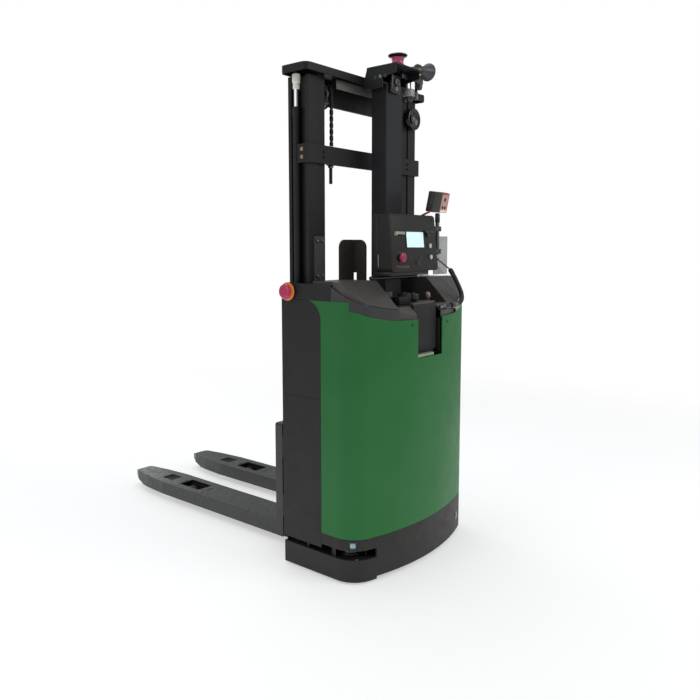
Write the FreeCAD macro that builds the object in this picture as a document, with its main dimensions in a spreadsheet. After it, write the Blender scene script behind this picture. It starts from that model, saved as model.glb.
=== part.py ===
import FreeCAD, Part
import math
import os
import re
import Sketcher

# Autonomous fork-over pallet stacker. Millimetres, +Z up, forks along +Y, standing on Z = 0.
# The origin is the middle of the truck's plan at the floor.

doc = FreeCAD.newDocument("PalletStacker")
sheet = doc.addObject("Spreadsheet::Sheet", "Sizes")

SIZES = {
    # body and covers
    "body_width": 850, "body_depth": 451, "panel_sheet": 5, "panel_low": 122, "panel_split": 730,
    "panel_top": 1122, "panel_depth": 208, "panel_corner": 80, "panel_lip": 34, "seam": 1, "panel_tip": 2,
    "rear_arc": 1073, "corner_round": 110, "cover_sheet": 6, "cover_low": 184,
    "cover_rear_top": 1038, "cover_mid_top": 1061, "cover_mid_half": 345, "cover_side_half": 411,
    "cover_side_top": 1087, "cover_low_half": 227, "cover_low_top": 1041,
    "notch_half": 93, "notch_low": 878, "slot_recess": 27, "slot_sheet": 5, "slot_chamfer": 16,
    "slot_top": 1104, "slot_hood_back": 398,
    "shoulder_top": 1186, "shoulder_depth": 261, "shoulder_width": 38, "shoulder_round": 34,
    "side_boss": 12, "side_collar": 37, "side_stop_radius": 30,
    "hood_top": 1196, "hood_back": 305, "hood_slope_back": 400, "hood_slope_low": 1100,
    "hood_sheet": 5, "hood_gap": 2, "valley_half": 188, "valley_floor": 1090, "hood_front": 136,
    "strip_top": 1178, "strip_sheet": 5, "strip_inner": 205, "strip_inner_right": 246,
    "skirt_low": 20, "skirt_sheet": 7, "slot_bottom": 100, "slot_ceiling": 138, "slot_end": 313,
    "side_skirt_low": 9, "floor_plate": 8, "floor_level": 250, "ring_inset": 45, "ring_level": 174,
    # forks and straddle legs
    "fork_length": 1150, "fork_width": 164, "forks_outer": 570, "fork_top": 93, "fork_low": 27,
    "fork_plate": 8, "fork_wall": 6, "fork_taper": 300, "fork_nose_half": 30, "fork_nose_low": 58,
    "fork_void_end": 95, "heel_front": 183, "heel_thick": 42, "heel_top": 549, "heel_round": 10,
    "large_cut_long": 154, "large_cut_wide": 86, "large_cut_back": 478,
    "small_cut_long": 80, "small_cut_wide": 68, "small_cut_back": 282,
    "leg_width": 128, "leg_low": 22, "leg_high": 79, "leg_end_back": 352, "leg_nose": 26,
    "roller_radius": 38, "roller_width": 60, "roller_spacing": 82, "roller_gap": 5,
    "axle_radius": 10, "running_gap": 0.3, "shaft_gap": 0.06, 
    # mast
    "mast_setback": 4, "mast_depth": 108, "outer_half": 379, "outer_width": 59, "outer_flange": 16,
    "outer_web": 10, "outer_web_in": 26, "outer_top": 2005, "base_height": 99,
    "inner_half": 316, "inner_width": 40, "inner_inset": 4, "inner_flange": 13, "inner_web": 10,
    "inner_low": 112, "inner_top": 2035, "pan_half": 426, "pan_depth": 144, "pan_low": 2011,
    "pan_sheet": 5, "pan_round": 28, "pan_web_half": 150,
    "high_beam_low": 1914, "high_beam_high": 1992, "high_beam_back": 52, "beam_plate": 12,
    "low_beam_low": 130, "low_beam_high": 205, "tie_low": 1664, "tie_high": 1737, "tie_cheek": 7,
    "tie_cheek_reach": 46, "tie_side_gap": 9, "guide_roller_radius": 35, "guide_roller_width": 23,
    "guide_roller_low": 180, "guide_roller_step": 240,
    "cylinder_offset": 370, "cylinder_back": 40, "tube_outer": 16, "tube_bore": 11.5,
    "tube_top": 1887, "gland_height": 28, "gland_radius": 16.5, "rod_radius": 10, "rod_low": 300,
    "rod_end_low": 1962, "rod_end_radius": 15, 
    "sheave_offset": 230, "sheave_height": 1950, "sheave_back": 45, "sheave_radius": 55,
    "sheave_width": 32, "sheave_groove": 5, "sheave_pin": 9, "chain_width": 27, "chain_thick": 11,
    "chain_lug_low": 226, "chain_lug_high": 262, "chain_low": 1704, "chain_rod_radius": 7,
    "chain_rod_low": 1590, "chain_reach": 55.8, "tie_foot_high": 180,
    "low_beam_thick": 10,
    # carriage
    "carriage_half": 264, "carriage_cheek": 14, "carriage_low": 114, "carriage_high": 500,
    "carriage_back": 90, "bar_thick": 25, "bar_height": 100, "bar_low": 126, "bar_high_low": 398,
    "carriage_roller_radius": 33, "carriage_roller_width": 26, "carriage_roller_low": 180,
    "carriage_roller_step": 250,
    # mast stays and the round lamp
    "stay_top": 1362, "stay_low": 1010, "stay_leg": 106, "stay_flank": 60, "stay_sheet": 7,
    "stay_in": 96, "stay_round": 34, "stay_slot_low": 1180, "stay_slot_high": 1222,
    "stay_slot_half": 11, "pad_in": 295, "pad_out": 354, "pad_low": 1196, "pad_high": 1375,
    "pad_thick": 6, "bolt_head": 9, "bolt_inset": 14,
    "work_lamp_height": 1922, "work_lamp_offset": 337, "work_lamp_radius": 50,
    "work_lamp_depth": 26, "work_lamp_dish": 14, "work_lamp_rim": 7,
    # sensor post and head
    "post_width": 114, "post_front": 182, "post_depth": 75, "post_wall": 4, 
    "post_top": 1998, "plate_left": 87, "plate_right": 115, "plate_front": 165,
    "plate_back": 325, "plate_low": 2062, "plate_thick": 6, "cheek_sheet": 5, "cheek_low": 1980,
    "cheek_notch": 2030, "cheek_slant": 13, "cheek_shoulder": 40, "cheek_right_low": 2004,
    "lidar_x": 15, "lidar_back": 262, "lidar_base": 8, "lidar_foot": 36, "lidar_waist": 24,
    "lidar_head": 29, "lidar_tall": 39, "lidar_cap_radius": 41, "lidar_cap_tall": 16,
    "lidar_wall": 3, "rotor_radius": 15, "rotor_tall": 29, "rotor_pin": 5,
    "horn_throat": 14, "horn_mouth": 39, "horn_long": 72, "horn_x": 180, "horn_back": 262,
    "horn_lift": 30, "horn_wall": 3,
    "arm_width": 30, "arm_reach": 196,
    "camera_height": 2010, "camera_wide": 66, "camera_tall": 74, "camera_deep": 16,
    "camera_x": -8, "lens_radius": 17, "lens_deep": 8, "small_lens_radius": 8,
    "small_lens_drop": 27, "nav_x": 118, "nav_back": 250, "nav_top": 2004, "nav_radius": 25,
    "nav_tall": 32, "nav_dome": 22, "nav_prong": 6,
    # control box
    "box_half": 172, "box_gap": 13, "box_deep_high": 80, "box_deep_low": 104,
    "box_low": 1230, "box_high": 1463, "box_round": 14, "box_mount_half": 46,
    "box_mount_low": 1290, "box_mount_high": 1420, "screen_x": 7, "screen_half": 60,
    "screen_low": 1325, "screen_high": 1394, "screen_thick": 5,
    "panel_stop_x": 112, "panel_stop_z": 1288, "stop_radius": 20, "stop_head": 14,
    "stop_stem": 9, "stop_travel": 5, "stop_collar": 25, "collar_thick": 4, "stop_depth": 24,
    "button_x": 117, "button_high_z": 1335, "button_low_z": 1287, "button_radius": 10,
    "button_out": 8, "button_travel": 3, "button_depth": 12,
    "key_x": 17, "key_z": 1264, "key_radius": 11, "key_out": 9, "key_depth": 14,
    "latch_x": 108, "latch_z": 1386, "latch_half": 32, "latch_tall": 12, "latch_out": 10,
    "tube_x": 213, "tube_back": 345, "tube_radius": 9, "tube_low": 1296, "tube_high": 1478,
    "clamp_low": 1300, "clamp_high": 1420, "clamp_tall": 22,
    "lamp_half": 76, "lamp_deep": 34, "lamp_tall": 88, "lamp_tilt": 12,
    "lamp_x": 210, "lamp_round": 6, "shield_left": 200, "shield_right": 316, "shield_low": 1208,
    "shield_high": 1377, "shield_thick": 4, "shield_back": 330,
    "bar_radius": 8, "bar_half": 215, "bar_back": 294, "side_stop_back": 45,
    "side_stop_height": 1154,
    # drive, casters and what the body holds
    "drive_x": -120, "drive_back": 278, "wheel_radius": 115, "wheel_width": 75,
    "turntable_radius": 95, "turntable_high": 24, "neck_radius": 62, "motor_radius": 70,
    "motor_tall": 150, "gearcase_wide": 42, "gearcase_half": 60, "gearcase_low": 62,
    "wheel_gap": 5, "hub_pin": 15, "caster_x": 215, "caster_back": 262, "swivel_radius": 30,
    "caster_drop": 50, "caster_half": 36, "caster_trail": 38, "caster_radius": 75,
    "caster_width": 50, "caster_stem": 15, "caster_cheek": 8, "caster_plate": 8,
    "battery_half": 250, "battery_front": 140, "battery_depth": 210, "battery_low": 450,
    "battery_tall": 440, "pump_radius": 44, "pump_long": 170,
    "tank_x": 175, "tank_back": 330, "tank_wide": 230, "tank_deep": 130, "tank_tall": 92,
    "shelf_half": 150, "bulkhead_gap": 14, "bulkhead_sheet": 8, "bulkhead_top": 1080,
    "scanner_radius": 40, "scanner_out": 37, "scanner_rear": 12,
    "light_radius": 18, "light_tall": 27, "light_low": 145, "light_inset": 13.4, "light_turn": 36.2,
    "lead_radius": 3.5, "conduit_radius": 10, "gland_out": 12, "box_gland_radius": 9,
    "hood_gland_radius": 14, "lead_back": 352, "lead_height": 1276, "conduit_x": 210,
    "conduit_back": 433, "conduit_height": 1076,
}

for row, (name, number) in enumerate(SIZES.items(), start=1):
    sheet.set(f"A{row}", name)
    sheet.set(f"B{row}", str(number))
    sheet.setAlias(f"B{row}", name)
doc.recompute()

# Derived places along Y, as expressions of the sizes above.
FRONT = "((body_depth - heel_front - fork_length) / 2)"      # front edge of the side panels
REAR = f"({FRONT} - body_depth)"                             # rearmost line of the covers
HEEL = f"({FRONT} + heel_front)"                             # front face of the fork heels
TIP = f"({HEEL} + fork_length)"
MAST_FRONT = f"({FRONT} - mast_setback)"
MAST_REAR = f"({MAST_FRONT} - mast_depth)"
CORNER_X = "(body_width / 2 - corner_round)"                # middle of a rear corner's rounding
CORNER_Y = f"({REAR} + rear_arc - sqrt((rear_arc - corner_round)^2 - {CORNER_X}^2))"
LIGHT_X = f"({CORNER_X} + (corner_round - light_inset) * cos(light_turn))"
LIGHT_Y = f"({CORNER_Y} - (corner_round - light_inset) * sin(light_turn))"
FORK_X = "((forks_outer - fork_width) / 2)"
ROLLER_Y = f"({TIP} - large_cut_back)"
SIDES = (("left", -1), ("right", 1))
X_AXIS = FreeCAD.Vector(1, 0, 0)
Y_AXIS = FreeCAD.Vector(0, 1, 0)
Z_AXIS = FreeCAD.Vector(0, 0, 1)


SHEAVE_Y = f"({FRONT} - sheave_back)"
CHAIN_FRONT = f"({SHEAVE_Y} + chain_reach)"
CHAIN_REAR = f"({SHEAVE_Y} - chain_reach)"


def bound(text):
    return re.sub(r"[a-z][a-z_]+", lambda word: "Sizes." + word[0] if word[0] in SIZES else word[0],
                  str(text))


def bind(item, **formulas):
    for key, text in formulas.items():
        item.setExpression(key, bound(text))


def place(item, x=0, y=0, z=0):
    for key, text in (("x", x), ("y", y), ("z", z)):
        item.setExpression(f"Placement.Base.{key}", bound(text))
    return item


def size(name):
    return float(SIZES[name])


def slab(name, x, y, z):
    """A box between two expressions on each axis."""
    item = doc.addObject("Part::Box", name)
    bind(item, Length=f"({x[1]}) - ({x[0]})", Width=f"({y[1]}) - ({y[0]})",
         Height=f"({z[1]}) - ({z[0]})")
    return place(item, x[0], y[0], z[0])


def mirrored(span, side):
    """A span of distances from the middle plane, on the left (-1) or right (1)."""
    low, high = span
    return (low, high) if side > 0 else (f"-({high})", f"-({low})")


TURN = {"z": (X_AXIS, 0), "x": (Y_AXIS, 90), "y": (X_AXIS, -90)}


def rod(name, axis, x, y, z, radius, length):
    """A cylinder that starts at a point and runs along +axis."""
    item = doc.addObject("Part::Cylinder", name)
    item.Placement.Rotation = FreeCAD.Rotation(*TURN[axis])
    bind(item, Radius=radius, Height=length)
    return place(item, x, y, z)


def cone(name, axis, x, y, z, radius_start, radius_end, length):
    item = doc.addObject("Part::Cone", name)
    item.Placement.Rotation = FreeCAD.Rotation(*TURN[axis])
    bind(item, Radius1=radius_start, Radius2=radius_end, Height=length)
    return place(item, x, y, z)


def fuse(name, *parts):
    item = doc.addObject("Part::MultiFuse", name)
    item.Shapes = list(parts)
    return item


def common(name, *parts):
    item = doc.addObject("Part::MultiCommon", name)
    item.Shapes = list(parts)
    return item


def cut(name, base, *tools):
    item = doc.addObject("Part::Cut", name)
    item.Base = base
    item.Tool = tools[0] if len(tools) == 1 else fuse(name + "_tools", *tools)
    return item


def group(name, *parts):
    """Separate solids of one sub-part."""
    item = doc.addObject("Part::Compound", name)
    item.Links = list(parts)
    return item


def rounded(name, base, radius, choose):
    """Round the edges of a finished solid that choose(edge) accepts."""
    doc.recompute()
    item = doc.addObject("Part::Fillet", name)
    item.Base = base
    wanted = [number for number, edge in enumerate(base.Shape.Edges, start=1) if choose(edge)]
    item.Edges = [(number, radius, radius) for number in wanted]
    return item


def upright(edge):
    return edge.Length > 1 and abs(abs(edge.tangentAt(edge.FirstParameter).z) - 1) < 1e-6


def outline(body, plane, points, offset="0"):
    """A closed sketch of straight lines through points given as expressions."""
    sketch = body.newObject("Sketcher::SketchObject", "Outline")
    origin_plane = [part for part in body.Origin.OriginFeatures if part.Role == plane][0]
    sketch.AttachmentSupport = [(origin_plane, "")]
    sketch.MapMode = "FlatFace"
    sketch.setExpression(".AttachmentOffset.Base.z", bound(offset))
    count = len(points)
    guess = [FreeCAD.Vector(math.cos(math.tau * step / count), math.sin(math.tau * step / count), 0)
             for step in range(count)]
    for step in range(count):
        sketch.addGeometry(Part.LineSegment(guess[step], guess[(step + 1) % count]), False)
    for step in range(count):
        sketch.addConstraint(Sketcher.Constraint("Coincident", step, 2, (step + 1) % count, 1))
    for step, (across, along) in enumerate(points):
        for kind, text in (("DistanceX", across), ("DistanceY", along)):
            number = sketch.addConstraint(Sketcher.Constraint(kind, -1, 1, step, 1, 1.0))
            sketch.setExpression(f"Constraints[{number}]", bound(text))
    return sketch


def plate(name, plane, points, low, high):
    """A pad of an outline between two places along its plane's world axis.
    XY outlines run along Z, YZ outlines along X and XZ outlines along Y."""
    body = doc.addObject("PartDesign::Body", name)
    offset = f"-({high})" if plane == "XZ_Plane" else low
    sketch = outline(body, plane, points, offset)
    pad = body.newObject("PartDesign::Pad", name + "_pad")
    pad.Profile = sketch
    bind(pad, Length=f"({high}) - ({low})")
    return body


def turned(name, points, x, y, z):
    """A revolved solid about a vertical axis; points are (radius, height)."""
    body = doc.addObject("PartDesign::Body", name)
    sketch = outline(body, "XZ_Plane", points)
    spin = body.newObject("PartDesign::Revolution", name + "_turn")
    spin.Profile = sketch
    spin.ReferenceAxis = (sketch, ["V_Axis"])
    spin.Angle = 360
    return place(body, x, y, z)


def round_edges(body, radius, choose):
    """A PartDesign fillet on the edges of the body's tip that choose(edge) accepts."""
    doc.recompute()
    base = body.Tip
    names = [f"Edge{number}" for number, edge in enumerate(base.Shape.Edges, start=1) if choose(edge)]
    item = body.newObject("PartDesign::Fillet", body.Name + "_round")
    item.Base = (base, names)
    bind(item, Radius=radius)
    return body


def plan_block(name, inset, low, high, front=FRONT):
    """A block with the body's plan: straight sides, round rear corners and a gentle rear arc.
    The inset is a sum of size names."""
    block = slab(name + "_block", (f"-(body_width / 2 - ({inset}))", f"body_width / 2 - ({inset})"),
                 (f"{REAR} - 1", front), (low, high))
    arc = rod(name + "_arc", "z", 0, f"{REAR} + rear_arc", f"({low}) - 1",
              f"rear_arc - ({inset})", f"({high}) - ({low}) + 2")
    shape = common(name + "_plan", block, arc)
    doc.recompute()
    middle = shape.Shape.BoundBox.Center.y
    return rounded(name, shape, size("corner_round") - total(inset),
                   lambda edge: upright(edge) and edge.Vertexes[0].Y < middle)


def total(names):
    return sum(size(name) for name in names.split(" + ") if name in SIZES)


def plan_shell(name, outer, inner, low, high, front=FRONT):
    """A wall between two insets of the body's plan."""
    return cut(name, plan_block(name + "_outer", outer, low, high, front),
               plan_block(name + "_inner", inner, f"({low}) - 1", f"({high}) + 1", f"{front} + 1"))


parts = []


def finish(item, label):
    item.Label = label
    parts.append(item)
    return item


# ---------------------------------------------------------------- covers
PANEL_BACK = f"({FRONT} - panel_depth)"


def panel_zone(name, grow):
    """The side panels' outline seen from the side, with its rear top corner rounded."""
    block = slab(name + "_block", ("-body_width", "body_width"),
                 (f"{PANEL_BACK} - ({grow})", f"{FRONT} + 1"),
                 ("panel_low - 50", "panel_top + panel_tip"))
    doc.recompute()
    shape = block.Shape.BoundBox
    across = lambda edge: (edge.Length > 1 and edge.CenterOfMass.z > shape.ZMax - 1
                           and edge.CenterOfMass.y < shape.YMin + 1)
    return rounded(name, block, size("panel_corner"), across)


def above_cover(name, lift):
    """Everything above the rear cover's dipping top edge, raised by a gap."""
    line = [("-cover_side_half", "cover_side_top"), ("-cover_mid_half", "cover_mid_top"),
            ("-cover_low_half", "cover_low_top"), ("-notch_half", "cover_rear_top"),
            ("notch_half", "cover_rear_top"), ("cover_low_half", "cover_low_top"),
            ("cover_mid_half", "cover_mid_top"), ("cover_side_half", "cover_side_top"),
            ("cover_side_half", "panel_top"), ("body_width", "panel_top"),
            ("body_width", "hood_top * 2"), ("-body_width", "hood_top * 2"),
            ("-body_width", "panel_top"), ("-cover_side_half", "panel_top")]
    points = [(across, f"{height} + ({lift})") for across, height in line]
    return plate(name, "XZ_Plane", points, f"{REAR} - 10", f"{FRONT} + 10")


notch = slab("notch", ("-notch_half", "notch_half"), (f"{REAR} - 5", f"{REAR} + 80"),
             ("notch_low", "hood_top"))
cover_front = f"({PANEL_BACK} + panel_corner)"
cover_shell = plan_shell("cover_shell", "0", "cover_sheet", "cover_low", "panel_top", cover_front)
finish(cut("rear_cover_solid", cover_shell, panel_zone("cover_panel_zone", "seam"),
           above_cover("cover_dip", "0"), notch), "rear_cover")

skirt_shell = plan_shell("skirt_shell", "0", "skirt_sheet", "skirt_low", "cover_low - seam",
                         f"({PANEL_BACK} - seam)")
scanner_slot = slab("scanner_slot", ("-body_width", "-slot_end"), (f"{REAR} - 5", f"{FRONT} + 5"),
                    ("skirt_low - 5", "slot_ceiling"))
light_seats = [rod(f"light_seat_{which}", "z", f"{side} * {LIGHT_X}", LIGHT_Y,
                   "light_low - running_gap", "light_radius + running_gap",
                   "light_tall + 2 * running_gap") for which, side in SIDES]
finish(cut("rear_skirt_solid", skirt_shell, scanner_slot, *light_seats), "rear_skirt")
lights = [rod(f"light_{which}", "z", f"{side} * {LIGHT_X}", LIGHT_Y, "light_low",
              "light_radius", "light_tall") for which, side in SIDES]
finish(group("corner_lights_solid", *lights), "corner_lights")
finish(rod("corner_scanner_solid", "z", f"-({CORNER_X} + scanner_out)", f"{CORNER_Y} - scanner_rear",
           "slot_bottom + running_gap", "scanner_radius", "ring_level - slot_bottom - running_gap"),
       "corner_scanner")

corner_shell = plan_shell("corner_shell", "0", "skirt_sheet", "side_skirt_low", "slot_bottom",
                          f"({FRONT} - panel_sheet)")
corner_zone = slab("corner_zone", ("-body_width", "-slot_end"), (f"{REAR} - 5", f"{FRONT} + 5"),
                   ("0", "slot_ceiling"))
left_side_skirt = common("left_side_skirt", corner_shell, corner_zone)
right_side_skirt = slab("right_side_skirt", ("body_width / 2 - skirt_sheet", "body_width / 2"),
                        (PANEL_BACK, f"{FRONT} - panel_sheet"), ("skirt_low", "panel_low - seam"))
finish(group("side_skirts_solid", left_side_skirt, right_side_skirt), "side_skirts")


def side_panel(side, word, low, high, zone):
    """A folded side sheet: its flank, with the rounded corner, and its front lip."""
    name = f"panel_{word}_{'left' if side < 0 else 'right'}"
    flank = slab(name + "_flank", mirrored(("body_width / 2 - panel_sheet", "body_width / 2"), side),
                 (PANEL_BACK, FRONT), (low, high))
    lip = slab(name + "_lip", mirrored(("body_width / 2 - panel_lip", "body_width / 2"), side),
               (f"{FRONT} - panel_sheet", FRONT), (low, high))
    return common(name, fuse(name + "_fold", flank, lip), zone)


sheets = [side_panel(side, word, low, high, panel_zone(f"zone_{word}_{which}", "0"))
          for word, low, high in (("upper", "panel_split + seam / 2", "panel_top"),
                                  ("lower", "panel_low", "panel_split - seam / 2"))
          for which, side in SIDES]
finish(group("side_panels_solid", *sheets), "side_panels")

STOP_Y = f"({FRONT} - side_stop_back)"
bands = []
for which, side in SIDES:
    block = slab(f"band_{which}_block",
                 mirrored(("body_width / 2 - shoulder_width", "body_width / 2"), side),
                 (f"{FRONT} - shoulder_depth", FRONT), ("panel_top + seam", "shoulder_top"))
    doc.recompute()
    box = block.Shape.BoundBox
    nose = lambda edge: edge.CenterOfMass.y > box.YMax - 1 and edge.CenterOfMass.z > box.ZMax - 1
    band = rounded(f"band_{which}_nose", block, size("shoulder_round"), nose)
    boss = rod(f"band_{which}_boss", "x",
               "body_width / 2" if side > 0 else "-(body_width / 2) - side_boss", STOP_Y,
               "side_stop_height", "side_collar", "side_boss")
    bore = rod(f"band_{which}_bore", "x",
               "body_width / 2 - stop_depth" if side > 0 else "-(body_width / 2) - side_boss - 1",
               STOP_Y, "side_stop_height", "stop_stem + shaft_gap", "stop_depth + side_boss + 1")
    bands.append(cut(f"band_{which}", fuse(f"band_{which}_whole", band, boss), bore))
finish(group("shoulder_bands_solid", *bands), "shoulder_bands")


def hood_form(name, inset, wall):
    """The two humps and the valley between them, as a solid, drawn in by a wall thickness."""
    block = plan_block(name + "_plan_block", inset, "cover_rear_top - 6", "hood_top",
                       f"({FRONT} - hood_front - ({wall}))")
    fall = plate(name + "_fall", "YZ_Plane",
                 [(f"{FRONT}", "cover_rear_top - 8"), (f"{FRONT}", f"hood_top - ({wall})"),
                  (f"{FRONT} - hood_back", f"hood_top - ({wall})"),
                  (f"{FRONT} - hood_slope_back", f"hood_slope_low - ({wall})"),
                  (f"{REAR} + 2", f"cover_rear_top + 8 - ({wall})"),
                  (f"{REAR} + 2", "cover_rear_top - 8")], "-body_width", "body_width")
    valley = slab(name + "_valley", (f"-(valley_half + ({wall}))", f"valley_half + ({wall})"),
                  (f"{REAR} - 1", f"{FRONT}"), (f"valley_floor - ({wall})", "hood_top + 1"))
    beside = [slab(f"{name}_beside_{which}",
                   mirrored((f"body_width / 2 - shoulder_width - seam - ({wall})", "body_width"), side),
                   (f"{FRONT} - shoulder_depth - seam - ({wall})", f"{FRONT}"),
                   ("cover_rear_top - 20", "hood_top + 1")) for which, side in SIDES]
    return cut(name, common(name + "_mass", block, fall), valley, *beside)


hood_outer = hood_form("hood_outer", "cover_sheet + hood_gap", "0")
hood_inner = hood_form("hood_inner", "cover_sheet + hood_gap + hood_sheet", "hood_sheet")
hood_floor_cut = slab("hood_floor_cut", ("-body_width", "body_width"), (f"{REAR} - 1", FRONT),
                      ("cover_rear_top - 20", "cover_rear_top - 5"))
post_hole = slab("post_hole", ("-(post_width / 2 + seam)", "post_width / 2 + seam"),
                 (f"{FRONT} - post_front - post_depth - seam", f"{FRONT} - post_front + seam"),
                 ("valley_floor - 20", "valley_floor + 20"))
slot_gap = slab("slot_gap", ("-(notch_half + seam)", "notch_half + seam"),
                (f"{REAR} - 1", f"{FRONT} - slot_hood_back"), ("cover_rear_top - 20", "hood_top"))
shelf_gap = slab("shelf_gap", ("-(shelf_half + seam)", "shelf_half + seam"),
                 (f"{FRONT} - post_front", FRONT), ("cover_rear_top - 20", "bulkhead_top + seam"))
hood_gland = rod("hood_gland", "x", "conduit_x - 2 * gland_out", f"{FRONT} - conduit_back",
                 "conduit_height", "hood_gland_radius", "2 * gland_out")
finish(cut("top_cover_solid", fuse("hood_with_gland", hood_outer, hood_gland), hood_inner,
           hood_floor_cut, post_hole, slot_gap, shelf_gap), "top_cover")

strip_shell = plan_shell("strip_shell", "0", "strip_sheet", "cover_rear_top", "strip_top")
strip_ahead = slab("strip_ahead", ("-body_width", "body_width"),
                   (f"{FRONT} - shoulder_depth - seam", f"{FRONT} + 1"),
                   ("cover_rear_top - 20", "hood_top"))
strip_fall = plate("strip_fall", "YZ_Plane",
                   [(f"{FRONT}", "cover_rear_top - 8"), (f"{FRONT}", "strip_top"),
                    (f"{FRONT} - shoulder_depth", "strip_top"),
                    (f"{FRONT} - hood_slope_back", "hood_slope_low"),
                    (f"{REAR} - 2", "cover_mid_top + 10"), (f"{REAR} - 2", "cover_rear_top - 8")],
                   "-body_width", "body_width")
strip_middle = slab("strip_middle", ("-strip_inner", "strip_inner_right"), (f"{REAR} - 2", FRONT),
                    ("cover_rear_top - 20", "hood_top"))
finish(cut("status_strips_solid", common("strip_mass", strip_shell, strip_fall,
                                         above_cover("strip_dip", "seam")), strip_middle,
           strip_ahead),
       "status_strips")

SLOT_FACE = f"({REAR} + slot_recess)"
slot_bend = plate("slot_bend", "YZ_Plane",
                  [(SLOT_FACE, "notch_low + seam"), (SLOT_FACE, "slot_top - slot_chamfer"),
                   (f"{SLOT_FACE} + slot_chamfer", "slot_top"),
                   (f"{FRONT} - slot_hood_back - seam", "slot_top"),
                   (f"{FRONT} - slot_hood_back - seam", "slot_top - slot_sheet"),
                   (f"{SLOT_FACE} + slot_chamfer + 2", "slot_top - slot_sheet"),
                   (f"{SLOT_FACE} + slot_sheet", "slot_top - slot_chamfer - 2"),
                   (f"{SLOT_FACE} + slot_sheet", "notch_low + seam")],
                  "-(notch_half - running_gap)", "notch_half - running_gap")
slot_pieces = [slab(f"slot_cheek_{which}",
                    mirrored(("notch_half - slot_sheet", "notch_half - running_gap"), side),
                    (f"{SLOT_FACE} - slot_recess + 8", f"{SLOT_FACE} + 1"),
                    ("notch_low + seam", "cover_rear_top")) for which, side in SIDES]
slot_ledge = slab("slot_ledge", ("-(notch_half - running_gap)", "notch_half - running_gap"),
                  (f"{SLOT_FACE} - slot_recess + 8", f"{SLOT_FACE} + 1"),
                  ("notch_low + seam", "notch_low + seam + slot_sheet"))
finish(fuse("tiller_slot_cover_solid", slot_bend, slot_ledge, *slot_pieces), "tiller_slot_cover")

# ---------------------------------------------------------------- base frame and legs
BULKHEAD = f"({MAST_REAR} - bulkhead_gap)"
DRIVE_Y = f"({FRONT} - drive_back)"
CASTER_Y = f"({FRONT} - caster_back)"
cross_member = slab("cross_member", (f"-(body_width / 2 - skirt_sheet - running_gap)",
                                     "body_width / 2 - skirt_sheet - running_gap"),
                    (f"{BULKHEAD} - bulkhead_sheet", MAST_FRONT), ("leg_low", "base_height"))
bulkhead_foot = slab("bulkhead_foot", ("-(body_width / 2 - skirt_sheet - running_gap)",
                                       "body_width / 2 - skirt_sheet - running_gap"),
                     (f"{BULKHEAD} - bulkhead_sheet", BULKHEAD), ("leg_low", "panel_low + 1"))
bulkhead = slab("bulkhead", ("-(body_width / 2 - panel_sheet - running_gap)",
                             "body_width / 2 - panel_sheet - running_gap"),
                (f"{BULKHEAD} - bulkhead_sheet", BULKHEAD), ("panel_low", "bulkhead_top"))
floor_plate = plan_block("floor_block", "cover_sheet + running_gap", "floor_level",
                         "floor_level + floor_plate", BULKHEAD)
skirt_ring = plan_shell("skirt_ring", "skirt_sheet + running_gap", "ring_inset", "ring_level",
                        "ring_level + floor_plate", BULKHEAD)
battery_shelf = slab("battery_shelf", ("-battery_half", "battery_half"),
                     (f"{FRONT} - battery_front - battery_depth", BULKHEAD),
                     ("battery_low - floor_plate", "battery_low"))
post_shelf = slab("post_shelf", ("-shelf_half", "shelf_half"),
                  (f"{FRONT} - post_front - post_depth - 20", BULKHEAD),
                  ("bulkhead_top - floor_plate", "bulkhead_top"))
neck_hole = rod("neck_hole", "z", "drive_x", DRIVE_Y, "floor_level - 20",
                "neck_radius + shaft_gap", "60")
stem_hole = rod("stem_hole", "z", "caster_x", CASTER_Y, "floor_level - 20",
                "caster_stem + shaft_gap", "60")
finish(cut("base_frame_solid",
           fuse("base_weldment", cross_member, bulkhead_foot, bulkhead, floor_plate, skirt_ring,
                battery_shelf, post_shelf), neck_hole, stem_hole), "base_frame")

LEG_END = f"({TIP} - leg_end_back)"
legs = []
for which, side in SIDES:
    middle = f"{side} * {FORK_X}"
    beam = slab(f"leg_{which}_beam", (f"{middle} - leg_width / 2", f"{middle} + leg_width / 2"),
                (MAST_FRONT, LEG_END), ("leg_low", "leg_high"))
    doc.recompute()
    box = beam.Shape.BoundBox
    tip = lambda edge: upright(edge) and edge.Vertexes[0].Y > box.YMax - 1
    nose = rounded(f"leg_{which}_nose", beam, size("leg_nose"), tip)
    bay = slab(f"leg_{which}_bay",
               (f"{middle} - roller_width / 2 - roller_gap", f"{middle} + roller_width / 2 + roller_gap"),
               (f"{ROLLER_Y} - roller_spacing / 2 - roller_radius - roller_gap",
                f"{ROLLER_Y} + roller_spacing / 2 + roller_radius + roller_gap"),
               ("leg_low - 1", "leg_high + 1"))
    axles = [rod(f"leg_{which}_axle_{place_name}", "x", f"{middle} - roller_width / 2 - roller_gap - 10",
                 f"{ROLLER_Y} + {sign} * roller_spacing / 2", "roller_radius", "axle_radius",
                 "roller_width + 2 * roller_gap + 20") for place_name, sign in (("rear", -1), ("front", 1))]
    legs.append(fuse(f"leg_{which}", cut(f"leg_{which}_shell", nose, bay), *axles))
    for place_name, sign in (("rear", -1), ("front", 1)):
        wheel = rod(f"roller_{which}_{place_name}_disc", "x", f"{middle} - roller_width / 2",
                    f"{ROLLER_Y} + {sign} * roller_spacing / 2", "roller_radius", "roller_radius",
                    "roller_width")
        bore = rod(f"roller_{which}_{place_name}_bore", "x", f"{middle} - roller_width / 2 - 1",
                   f"{ROLLER_Y} + {sign} * roller_spacing / 2", "roller_radius",
                   "axle_radius + shaft_gap", "roller_width + 2")
        finish(cut(f"load_roller_{which}_{place_name}_solid", wheel, bore),
               f"load_roller_{which}_{place_name}")
finish(group("straddle_legs_solid", *legs), "straddle_legs")

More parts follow.
